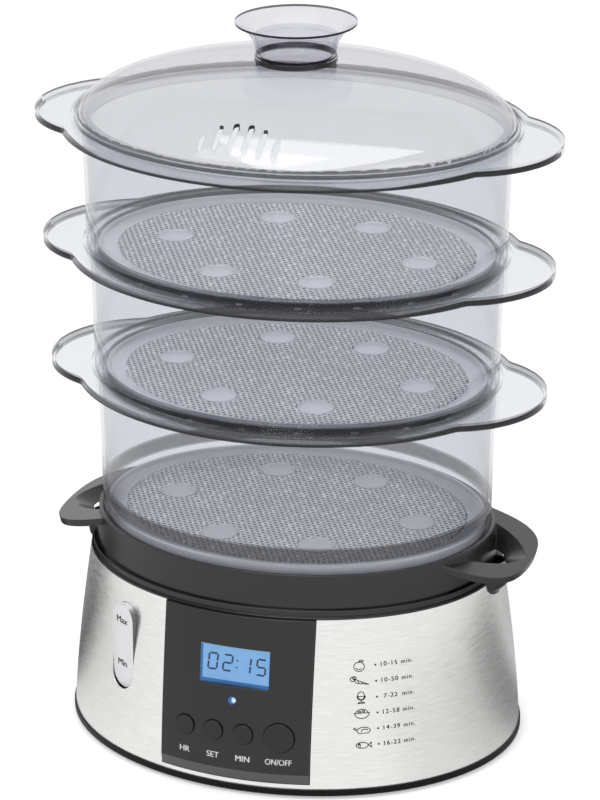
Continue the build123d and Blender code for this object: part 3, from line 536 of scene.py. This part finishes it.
material, tree, output = new_material("lit_lamp_lens")
low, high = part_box("indicator_lamp")
# Painted highlight: the lens glows white about a spot at its upper right, as a reflection would.
highlight_across, highlight_up = 0.8, 0.72  # shares of the lens's width and height
highlight_inner, highlight_outer = 0.6 * MM, 1.9 * MM
highlight_spot = (low.x + (high.x - low.x) * highlight_across, low.y, low.z + (high.z - low.z) * highlight_up)
pair = {0: own_place(tree), 1: highlight_spot}
away = add(tree, "ShaderNodeVectorMath", pair, operation="DISTANCE").outputs["Value"]
near = remap(tree, away, highlight_inner, highlight_outer, 1.0, 0.0, curve="SMOOTHSTEP")
lamp_shader = add(
    tree,
    "ShaderNodeBsdfPrincipled",
    {
        "Base Color": linear("#123c66"),
        "Roughness": 0.06,
        "Emission Color": mix(tree, near, "#15568f", "#e6f6ff"),
        "Emission Strength": 0.9,
    },
)
tree.links.new(lamp_shader.outputs[0], output.inputs["Surface"])
dress(material, "indicator_lamp")

# %% [markdown]
# ## Hidden pieces
# What sits inside keeps simple but true finishes: rubber, silicone, metals, the boards.

# %% Inner finishes
dress(moulded("nitrile_rubber", "#161616", "#1d1d1d", 0.7, 0.8, 0.03), "rubber_feet")
dress(moulded("silicone_gasket", "#c9c7c2", "#d4d2cd", 0.5, 0.8, 0.02), "heater_gasket", "gauge_gasket")
dress(moulded("green_circuit_board", "#1d5a35", "#236a3f", 0.4, 1.0, 0.01), "control_board", "power_board")
dress(moulded("black_switch_bodies", "#222222", "#2a2a2a", 0.45, 0.8, 0.01), "push_switches", "buzzer")
dress(moulded("grey_display_body", "#8f959c", "#9aa0a7", 0.45, 0.8, 0.01), "display_module")
dress(moulded("blue_relay_case", "#24508c", "#2b5a99", 0.4, 0.8, 0.01), "relay")
dress(moulded("yellow_capacitor_case", "#c9a23a", "#d2ac48", 0.4, 0.8, 0.01), "mains_capacitor")


metal_clouds, metal_spread = 120.0, 0.08


def metal(name, colour, dull, roughness):
    """Bare metal with a cloudy, slightly uneven finish."""
    material, tree, output = new_material(name)
    cloud = noise(tree, own_place(tree), metal_clouds, 3.0)
    rough = remap(tree, cloud, 0.0, 1.0, roughness - metal_spread, roughness + metal_spread)
    look = {"Base Color": mix(tree, cloud, colour, dull), "Metallic": 1.0, "Roughness": rough}
    shader = add(tree, "ShaderNodeBsdfPrincipled", look)
    tree.links.new(shader.outputs[0], output.inputs["Surface"])
    return material


dress(metal("polished_heater_steel", "#c6c4c0", "#b2b0ac", 0.25), "heater_plate")
dress(metal("dull_element_sheath", "#7d7a76", "#6a6763", 0.5), "heating_coil")
zinc = metal("zinc_plated_steel", "#b8babd", "#a3a5a8", 0.35)
dress(zinc, "heater_bracket", "heater_nut", "thermostat", "base_screws", "panel_screws", "power_board_screws")
dress(metal("bright_brass", "#c9a860", "#b3934e", 0.35), "heater_terminals", "thermal_fuse")
dress(metal("laminated_core_steel", "#55565a", "#46474b", 0.5), "transformer")

# %% [markdown]
# ## Perforated bowl floors
# Each grate is a thin plate pierced by thousands of small square holes in staggered rows,
# with a smooth border, a raised rim and six smooth egg seats. Modelling the holes by hand
# would be hopeless, so Geometry Nodes lay a grid of points over the oval, drop those that
# fall on the border or an egg seat, shift every second row by half a pitch, and stand one
# small pierced cell on each point.


# %% One pierced cell
hole_taper = 0.36  # half size of a hole's foot over the full size of its mouth


def pierced_cell(pitch_x, pitch_y, hole_x, hole_y, wall):
    """Mesh object: a flat rectangle with a tapered rectangular hole through it."""
    mesh = bpy.data.meshes.new("cell")
    shape = bmesh.new()
    loops = []
    for half_x, half_y, z in (
        (pitch_x / 2, pitch_y / 2, wall),
        (hole_x / 2, hole_y / 2, wall),
        (hole_x * hole_taper, hole_y * hole_taper, 0),
        (pitch_x / 2, pitch_y / 2, 0),
    ):
        signs = ((-1, -1), (1, -1), (1, 1), (-1, 1))
        loops.append([shape.verts.new((sx * half_x, sy * half_y, z)) for sx, sy in signs])
    for low, high in ((1, 0), (2, 1), (3, 2)):
        for i in range(4):
            j = (i + 1) % 4
            shape.faces.new((loops[high][i], loops[high][j], loops[low][j], loops[low][i]))
    shape.to_mesh(mesh)
    shape.free()
    return bpy.data.objects.new("cell", mesh)


cell_x, cell_y = 3.2 * MM, 2.9 * MM
hole_x, hole_y = 1.7 * MM, 1.35 * MM
plate_wall = 2.0 * MM
sunk = 0.05 * MM  # the pierced cells lie this much inside the smooth border's faces
cell = pierced_cell(cell_x, cell_y, hole_x, hole_y, plate_wall - 2 * sunk)
print("cell faces:", len(cell.data.polygons))


# %% The tree that lays out the cells
def grate_tree(cell, egg_seats, egg_radius):
    """Geometry Nodes group: pierced cells over an oval, with smooth places left out."""
    group = bpy.data.node_groups.new("pierced_field", "GeometryNodeTree")
    group.interface.new_socket("Geometry", in_out="OUTPUT", socket_type="NodeSocketGeometry")
    for name in ("Half Length", "Half Width", "Height", "Pitch X", "Pitch Y"):
        group.interface.new_socket(name, in_out="INPUT", socket_type="NodeSocketFloat")
    group.interface.new_socket("Finish", in_out="INPUT", socket_type="NodeSocketMaterial")
    source = add(group, "NodeGroupInput")
    out = source.outputs

    def math_node(operation, a, b=0.0):
        return maths(group, a, b, operation)

    size_x = math_node("MULTIPLY", out["Half Length"], 2.0)
    size_y = math_node("MULTIPLY", out["Half Width"], 2.0)
    count_x = math_node("ROUND", math_node("DIVIDE", size_x, out["Pitch X"]))
    count_y = math_node("ROUND", math_node("DIVIDE", size_y, out["Pitch Y"]))
    span_x = math_node("MULTIPLY", count_x, out["Pitch X"])
    span_y = math_node("MULTIPLY", count_y, out["Pitch Y"])
    grid = add(
        group,
        "GeometryNodeMeshGrid",
        {
            "Size X": span_x,
            "Size Y": span_y,
            "Vertices X": math_node("ADD", count_x, 1.0),
            "Vertices Y": math_node("ADD", count_y, 1.0),
        },
    )
    place = axes(group, add(group, "GeometryNodeInputPosition").outputs[0])
    x, y = place["X"], place["Y"]
    from_edge = math_node("ADD", y, math_node("MULTIPLY", span_y, 0.5))
    row = math_node("ROUND", math_node("DIVIDE", from_edge, out["Pitch Y"]))
    odd = math_node("FLOORED_MODULO", row, 2.0)
    shift_x = math_node("MULTIPLY", math_node("MULTIPLY", odd, out["Pitch X"]), 0.5)
    offset = add(group, "ShaderNodeCombineXYZ", {"X": shift_x, "Z": out["Height"]})
    shifted = {"Geometry": grid.outputs["Mesh"], "Offset": offset.outputs[0]}
    moved = add(group, "GeometryNodeSetPosition", shifted)
    across = math_node("POWER", math_node("ABSOLUTE", math_node("DIVIDE", x, out["Half Length"])), 2.0)
    along = math_node("POWER", math_node("ABSOLUTE", math_node("DIVIDE", y, out["Half Width"])), 2.0)
    dropped = math_node("GREATER_THAN", math_node("ADD", across, along), 1.0)
    for seat_x, seat_y in egg_seats:
        gap_x = math_node("SUBTRACT", x, seat_x)
        gap_y = math_node("SUBTRACT", y, seat_y)
        near = math_node("ADD", math_node("MULTIPLY", gap_x, gap_x), math_node("MULTIPLY", gap_y, gap_y))
        dropped = math_node("MAXIMUM", dropped, math_node("LESS_THAN", near, egg_radius**2))
    unwanted = {"Geometry": moved.outputs[0], "Selection": dropped}
    kept = add(group, "GeometryNodeDeleteGeometry", unwanted, domain="POINT")
    info = add(group, "GeometryNodeObjectInfo", {"Object": cell})
    stood = {"Points": kept.outputs[0], "Instance": info.outputs["Geometry"]}
    laid = add(group, "GeometryNodeInstanceOnPoints", stood)
    real = add(group, "GeometryNodeRealizeInstances", {"Geometry": laid.outputs[0]})
    finish = add(group, "GeometryNodeSetMaterial", {"Geometry": real.outputs[0], "Material": out["Finish"]})
    add(group, "NodeGroupOutput", {"Geometry": finish.outputs[0]})
    return group


egg_radius = 8.0 * MM
side_seat_x, side_seat_y, end_seat_x = 27.0 * MM, 46.5 * MM, 68.0 * MM
egg_seats = [(sx * side_seat_x, sy * side_seat_y) for sx in (-1, 1) for sy in (-1, 1)]
egg_seats += [(end_seat_x, 0.0), (-end_seat_x, 0.0)]
pierced = grate_tree(cell, egg_seats, egg_radius + cell_x / 2)
print("egg seats:", len(egg_seats))

# %% [markdown]
# The smooth parts of a grate are made in mesh code: a border ring with its raised rim,
# swept round the oval from a small profile, and six round plates for the egg seats.


# %% Border ring and egg seats
def oval_ring(half_length, profile, steps=192):
    """Closed ring: profile points are (inset from the oval, height)."""
    shape = bmesh.new()
    rings = []
    for step in range(steps):
        angle = 2 * math.pi * step / steps
        ring = []
        for inset, z in profile:
            a, b = half_length - inset, half_length - oval_step - inset
            ring.append(shape.verts.new((a * math.cos(angle), b * math.sin(angle), z)))
        rings.append(ring)
    for i in range(steps):
        here, there = rings[i], rings[(i + 1) % steps]
        for j in range(len(profile)):
            k = (j + 1) % len(profile)
            shape.faces.new((here[j], here[k], there[k], there[j]))
    bmesh.ops.recalc_face_normals(shape, faces=shape.faces)
    return shape


def egg_plate(shape, centre, radius, low, wall, lip):
    """Round seat: a smooth plate with a low lip round its edge."""
    steps = 32
    top = wall + lip
    profile = ((radius, 0), (radius, top), (radius - lip, top), (radius - 2 * lip, wall))
    rings = []
    for size, z in profile:
        ring = []
        for step in range(steps):
            angle = 2 * math.pi * step / steps
            x, y = centre[0] + size * math.cos(angle), centre[1] + size * math.sin(angle)
            ring.append(shape.verts.new((x, y, low + z)))
        rings.append(ring)
    for low_ring, high_ring in zip(rings, rings[1:]):
        for i in range(steps):
            j = (i + 1) % steps
            shape.faces.new((low_ring[i], low_ring[j], high_ring[j], high_ring[i]))
    shape.faces.new(rings[-1])
    shape.faces.new(list(reversed(rings[0])))


smooth_rim, smooth_milk, plain_bar, bright_bar, wall_milk = 0.35, 0.5, 0.62, 0.98, 0.35


# The hole walls' deep tint is partly painted shade, so that the holes show as dark dots.
def grate_walls_and_shade(tree, place, up):
    """Walls of the holes, their tint partly painted shade of the holes, and less strongly the smooth rims."""
    upright = maths(tree, up, 0.5, "LESS_THAN")
    pierced_part = add(tree, "ShaderNodeAttribute", attribute_name="pierced").outputs["Fac"]
    return maths(tree, upright, maths(tree, pierced_part, smooth_rim, "MAXIMUM"), "MULTIPLY")


def grate_haze(tree, place, mask):
    """Bars catch the light, one in four of them strongly; smooth parts and hole walls less."""
    pair = {0: place, 1: (cell_x / 2, cell_y, 1)}
    snapped = add(tree, "ShaderNodeVectorMath", pair, operation="SNAP").outputs[0]
    dice = add(tree, "ShaderNodeTexWhiteNoise", {"Vector": snapped}).outputs["Value"]
    bars = remap(tree, dice, 0.75, 1.0, plain_bar, bright_bar)
    pierced_part = add(tree, "ShaderNodeAttribute", attribute_name="pierced").outputs["Fac"]
    ends = {"Factor": pierced_part, "A": smooth_milk, "B": bars}
    share = add(tree, "ShaderNodeMix", ends).outputs[0]
    clear = remap(tree, mask, 0.0, 1.0, 1.0, wall_milk)
    return maths(tree, share, clear, "MULTIPLY")


# The grates get painted light: a faint glow at their milky places.
grate_plastic = clear_plastic(
    "clear_san_grates", "#f6f6fa", "#d0d1d9", "#4c4e5b", grate_walls_and_shade, haze=grate_haze, glow=0.16
)
field_border, rim_width, rim_foot, seat_lip = 7.0 * MM, 1.8 * MM, 2.4 * MM, 0.5 * MM


def make_grate(name, body):
    """Replace one slotted CAD grate by its finely pierced likeness."""
    low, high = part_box(name)
    half_length, plate_top, field_inset = high.x, low.z + plate_wall, field_border + cell_x
    profile = (
        (0, low.z),
        (0, high.z),
        (rim_width, high.z),
        (rim_foot, plate_top),
        (field_inset, plate_top),
        (field_inset, low.z),
    )
    shape = oval_ring(half_length, profile)
    for seat in egg_seats:
        egg_plate(shape, seat, egg_radius + cell_x / 2, low.z, plate_wall, seat_lip)
    smooth = bpy.data.meshes.new(name + "_smooth")
    shape.to_mesh(smooth)
    shape.free()

    holder = bpy.data.objects.new(name + "_field", bpy.data.meshes.new(name + "_field"))
    scene.collection.objects.link(holder)
    modifier = holder.modifiers.new("pierced", "NODES")
    modifier.node_group = pierced
    values = {
        "Half Length": half_length - field_inset,
        "Half Width": half_length - oval_step - field_inset,
        "Height": low.z + sunk,
        "Pitch X": cell_x,
        "Pitch Y": cell_y,
        "Finish": grate_plastic,
    }
    for item in pierced.interface.items_tree:
        if item.item_type == "SOCKET" and item.in_out == "INPUT":
            modifier[item.identifier] = values[item.name]
    holder.update_tag()
    depsgraph = bpy.context.evaluated_depsgraph_get()
    field = bpy.data.meshes.new_from_object(holder.evaluated_get(depsgraph))
    bpy.data.objects.remove(holder)

    joined = bmesh.new()
    joined.from_mesh(smooth)
    joined.from_mesh(field)
    mesh = bpy.data.meshes.new(name + "_pierced")
    joined.to_mesh(mesh)
    joined.free()
    mesh.materials.append(grate_plastic)
    mark = mesh.attributes.new("pierced", "FLOAT", "FACE")
    for polygon in mesh.polygons:
        polygon.material_index = 0
        mark.data[polygon.index].value = float(polygon.index >= len(smooth.polygons))
    piece = bpy.data.objects.new(name + "_pierced", mesh)
    scene.collection.objects.link(piece)
    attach(piece, body)
    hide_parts(name)
    print(name, "faces:", len(mesh.polygons))


make_grate("lower_grate", "bowl_low")
make_grate("middle_grate", "bowl_mid")
make_grate("upper_grate", "bowl_top")

# %% [markdown]
# ## Printing
# Words and numbers are printed flat on curved steel and plastic. Each print is made flat,
# in millimetres, then every one of its points is dropped onto the surface under it, so
# that it follows the curve and stands a hair proud.


# %% Dropping flat prints onto a surface
surfaces = {}
capital_share = 0.72  # height of a capital letter over the font's size
word_bold = 0.05


def surface(name):
    """Search tree of a CAD node's surface."""
    if name not in surfaces:
        mesh = nodes[name].data
        points = [vertex.co.copy() for vertex in mesh.vertices]
        faces = [list(polygon.vertices) for polygon in mesh.polygons]
        surfaces[name] = BVHTree.FromPolygons(points, faces)
    return surfaces[name]


def flat_text(words, height, align="CENTER", tight=1.0, bold=0.0):
    """Flat mesh of words, its capitals a given height in millimetres.

    bold prints the words twice, this share of their height apart.
    """
    curve = bpy.data.curves.new("words", "FONT")
    curve.body = words
    curve.align_x = align
    curve.align_y = "CENTER"
    curve.space_character = tight
    curve.size = height / capital_share
    holder = bpy.data.objects.new("words", curve)
    scene.collection.objects.link(holder)
    depsgraph = bpy.context.evaluated_depsgraph_get()
    depsgraph.update()
    mesh = bpy.data.meshes.new_from_object(holder.evaluated_get(depsgraph))
    bpy.data.objects.remove(holder)
    if bold:
        twice = bmesh.new()
        for shift in (-bold * height / 2, bold * height):
            mesh.transform(Matrix.Translation((shift, 0, 0)))
            twice.from_mesh(mesh)
        twice.to_mesh(mesh)
        twice.free()
    return mesh


line_overlap = 0.2  # share of a line's width that it runs past its ends


def stroke(shape, points, width):
    """Add a flat line of even width through 2-D points, in steps short enough to bend."""
    for start, end in zip(points, points[1:]):
        a, b = Vector(start), Vector(end)
        along = (b - a).normalized() * width
        side = Vector((-along.y, along.x)) / 2
        a, b = a - along * line_overlap, b + along * line_overlap
        steps = max(1, round((b - a).length))
        for step in range(steps):
            near, far = a.lerp(b, step / steps), a.lerp(b, (step + 1) / steps)
            corner = [near + side, near - side, far - side, far + side]
            shape.faces.new([shape.verts.new((p.x, p.y, 0)) for p in corner])


proud = 0.07 * MM  # how far a print stands off its surface
start_out, run_up = 160 * MM, 50 * MM  # where a print starts, out from the middle and further
rightward, upward, backward = Vector((1, 0, 0)), Vector((0, 0, 1)), Vector((0, 1, 0))


def dropped(mesh, name, origin, right, inward):
    """Move a flat mesh's points, in mm, onto a node's surface along a direction."""
    tree = surface(name)
    for vertex in mesh.vertices:
        start = origin + right * vertex.co.x * MM + upward * vertex.co.y * MM
        spot = tree.ray_cast(start - inward * run_up, inward)[0]
        if spot is None:
            spot = start
        vertex.co = spot - inward * proud


def dropped_in_front(mesh, name, x, z):
    """Drop a flat mesh straight back onto a node, about a place of its front."""
    dropped(mesh, name, Vector((x, -start_out, z)), rightward, backward)


def print_piece(name, mesh, material, body):
    """Finish a print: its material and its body."""
    mesh.materials.clear()
    mesh.materials.append(material)
    for polygon in mesh.polygons:
        polygon.material_index = 0
    piece = bpy.data.objects.new(name, mesh)
    scene.collection.objects.link(piece)
    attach(piece, body)
    print(name, "faces:", len(mesh.polygons))


white_ink = moulded("white_pad_print", "#e8e8e8", "#dedede", 0.5, 0.3, 0.005)
black_ink = moulded("black_screen_print", "#141414", "#1c1c1c", 0.6, 0.3, 0.005, shine=0.2)

# %% [markdown]
# The key labels sit under the four keys and say what each key sets.

# %% Key labels
key_row = {
    "HR": "hour_button",
    "SET": "set_button",
    "MIN": "minute_button",
    "ON/OFF": "power_button",
}
label_z, label_height, label_width = 20.6 * MM, 3.3, 13.9
for words, key in key_row.items():
    low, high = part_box(key)
    mesh = flat_text(words, label_height, bold=word_bold)
    width = max(v.co.x for v in mesh.vertices) - min(v.co.x for v in mesh.vertices)
    mesh.transform(Matrix.Scale(min(1, label_width / width), 4, (1, 0, 0)))
    dropped_in_front(mesh, "control_panel", (low.x + high.x) / 2, label_z)
    print_piece("label_" + key, mesh, white_ink, "base")

# %% [markdown]
# ## Clock digits
# A seven-segment display: each digit lights some of seven bars. The bars are drawn once
# as a small table of where they go, and a digit picks its own.

# %% Seven-segment digits
bars = {
    "top": ((-1, 1), (1, 1)),
    "left_high": ((-1, 1), (-1, 0)),
    "right_high": ((1, 1), (1, 0)),
    "middle": ((-1, 0), (1, 0)),
    "left_low": ((-1, 0), (-1, -1)),
    "right_low": ((1, 0), (1, -1)),
    "bottom": ((-1, -1), (1, -1)),
}
lit = {
    "0": ("top", "left_high", "right_high", "left_low", "right_low", "bottom"),
    "1": ("right_high", "right_low"),
    "2": ("top", "right_high", "middle", "left_low", "bottom"),
    "5": ("top", "left_high", "middle", "right_low", "bottom"),
}
digit_width, digit_height, bar_width, lean = 4.8, 8.6, 1.0, 0.09
digit_places = {-12.2: "0", -4.0: "2", 6.2: "1", 14.6: "5"}
digits_rise = 1.5

colon_x, colon_rise, colon_half, colon_width = 1.2, 1.9, 0.3, 0.9
bar_inset = 0.55 * bar_width

low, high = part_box("display_window")
window_z = (low.z + high.z) / 2
shape = bmesh.new()
for centre, digit in digit_places.items():
    for bar in lit[digit]:
        ends = [Vector((sx * digit_width / 2, sy * digit_height / 2)) for sx, sy in bars[bar]]
        inset = (ends[1] - ends[0]).normalized() * bar_inset
        ends = [ends[0] + inset, ends[1] - inset]
        stroke(shape, [(e.x + centre + lean * e.y, e.y + digits_rise) for e in ends], bar_width)
for rise in (-colon_rise, colon_rise):
    x, y = colon_x + lean * rise, rise + digits_rise
    stroke(shape, [(x, y - colon_half), (x, y + colon_half)], colon_width)
mesh = bpy.data.meshes.new("clock_digits")
shape.to_mesh(mesh)
shape.free()
dropped_in_front(mesh, "display_window", 0, window_z)
digit_ink = moulded("dark_liquid_crystal", "#16304f", "#1a3657", 0.3, 0.3, 0.002)
print_piece("clock_digits", mesh, digit_ink, "base")

# The glass ends in a printed border, which is deepest along the bottom.
side_gap, end_gap, left_border, bottom_border = 0.1, 0.4, 1.2, 2.2
half_x = (high.x - low.x) / 2 / MM - side_gap
half_y = (high.z - low.z) / 2 / MM - end_gap
inner_left = left_border - half_x
borders = (
    (-half_x, -half_y, inner_left, half_y),
    (inner_left, -half_y, half_x, bottom_border - half_y),
)
shape = bmesh.new()
for left, bottom, right, top in borders:
    rim = ((left, bottom), (right, bottom), (right, top), (left, top))
    shape.faces.new([shape.verts.new((x, y, 0)) for x, y in rim])
mesh = bpy.data.meshes.new("display_border")
shape.to_mesh(mesh)
shape.free()
dropped_in_front(mesh, "display_window", 0, window_z)
border_ink = moulded("blue_display_border", "#2d6fae", "#2a67a2", 0.25, 0.3, 0.002)
print_piece("display_border", mesh, border_ink, "base")

# %% [markdown]
# ## Steaming chart
# Six rows to the right of the panel: a small line drawing, a dot and the minutes. The
# rows are laid out flat in front of the steel, square to its curve at the chart's middle,
# and then dropped straight onto it.


# %% Line drawings
def ring_points(x, y, rx, ry, start=0, end=360, steps=20):
    """Points of an elliptical arc, in degrees."""
    turns = [math.radians(start + (end - start) * i / steps) for i in range(steps + 1)]
    return [(x + rx * math.cos(turn), y + ry * math.sin(turn)) for turn in turns]


# Lines of each small drawing, in mm about its middle.
drawings = {
    "apple": [
        ring_points(-0.2, -0.3, 2.0, 1.9),
        [(-0.2, 1.2), (0.1, 2.3)],
        ring_points(0.8, 1.9, 0.7, 0.35),
        ring_points(-0.2, -0.3, 1.2, 1.1, 200, 320),
    ],
    "carrot": [
        [(-2.6, 1.4), (3.2, -1.2), (-1.6, -0.4), (-2.6, 1.4)],
        ring_points(-2.9, 1.2, 0.9, 0.9),
        ring_points(-2.2, 1.7, 0.7, 0.6),
        [(-1.0, 0.4), (-0.5, -0.3)],
        [(0.6, -0.1), (0.9, -0.7)],
    ],
    "egg": [
        ring_points(0, 0.9, 1.3, 1.6),
        ring_points(0, 0.6, 1.6, 1.5, 180, 360),
        [(-1.6, 0.6), (1.6, 0.6)],
        [(0, -0.9), (0, -1.7)],
        ring_points(0, -2.2, 1.3, 0.5, 0, 180),
        [(-1.3, -2.2), (1.3, -2.2)],
    ],
    "rice": [
        ring_points(0, 0.3, 2.8, 2.2, 180, 360),
        [(-3.0, 0.3), (3.0, 0.3)],
        ring_points(0, 0.3, 2.3, 1.5, 0, 180),
        ring_points(-0.9, 0.8, 0.5, 0.3),
        ring_points(0.6, 1.0, 0.5, 0.3),
    ],
    "poultry": [
        ring_points(0.4, -0.5, 2.6, 1.4, 0, 180),
        [(3.0, -0.5), (2.2, -1.5), (-1.6, -1.5), (-2.2, -0.5)],
        [(-2.0, 0.0), (-3.2, 0.8), (-3.4, 0.3), (-2.2, -0.5)],
        ring_points(0.8, -0.6, 1.3, 0.7, 20, 200),
    ],
    "fish": [
        ring_points(-0.4, 0, 2.3, 1.2),
        [(1.9, 0), (3.3, 1.1), (3.0, 0), (3.3, -1.1), (1.9, 0)],
        ring_points(-1.7, 0.25, 0.25, 0.25),
        ring_points(-1.9, 0, 0.9, 1.0, -60, 60),
    ],
}

# %% The chart
chart = {
    "apple": "10-15",
    "carrot": "10-50",
    "egg": " 7-22",
    "rice": "12-58",
    "poultry": "14-39",
    "fish": "16-22",
}
chart_turn = math.radians(42.6)
chart_top, row_step = 73.4 * MM, 8.72 * MM
drawing_x, dot_x, number_x, unit_x = -8.6, -0.4, 1.8, 13.4
number_height, unit_height, line_width, drawing_scale = 2.5, 2.4, 0.44, 1.35
letter_space, letter_bold, dot_radius, dot_corners = 1.25, 0.06, 0.55, 12

outward = Vector((math.sin(chart_turn), -math.cos(chart_turn), 0))
across = Vector((math.cos(chart_turn), math.sin(chart_turn), 0))
for row, (kind, minutes) in enumerate(chart.items()):
    joined = bmesh.new()
    for lines in drawings[kind]:
        scaled = [(x * drawing_scale + drawing_x, y * drawing_scale) for x, y in lines]
        stroke(joined, scaled, line_width)
    dot = ring_points(dot_x, 0, dot_radius, dot_radius, steps=dot_corners)[1:]
    joined.faces.new([joined.verts.new((x, y, 0)) for x, y in dot])
    for words, x, height in ((minutes, number_x, number_height), ("min.", unit_x, unit_height)):
        text = flat_text(words, height, align="LEFT", tight=letter_space, bold=letter_bold)
        text.transform(Matrix.Translation((x, 0, 0)))
        joined.from_mesh(text)
    mesh = bpy.data.meshes.new("chart_row")
    joined.to_mesh(mesh)
    joined.free()
    origin = outward * start_out + upward * (chart_top - row * row_step)
    dropped(mesh, "steel_skirt", origin, across, -outward)
    print_piece("chart_" + kind, mesh, black_ink, "base")

# %% [markdown]
# The gauge carries two words at the levels the water may stand between.

# %% Gauge words
gauge_middle, gauge_start = Vector((-75.5 * MM, -87.0 * MM, 0)), 30 * MM
word_height, word_levels = 3.9, {"Max": 78.7 * MM, "Min": 53.8 * MM}
for words, z in word_levels.items():
    mesh = flat_text(words, word_height, bold=word_bold)
    origin = gauge_middle + upward * z + gauge_out * gauge_start
    dropped(mesh, "gauge_window", origin, gauge_across, -gauge_out)
    print_piece("gauge_" + words, mesh, black_ink, "base")
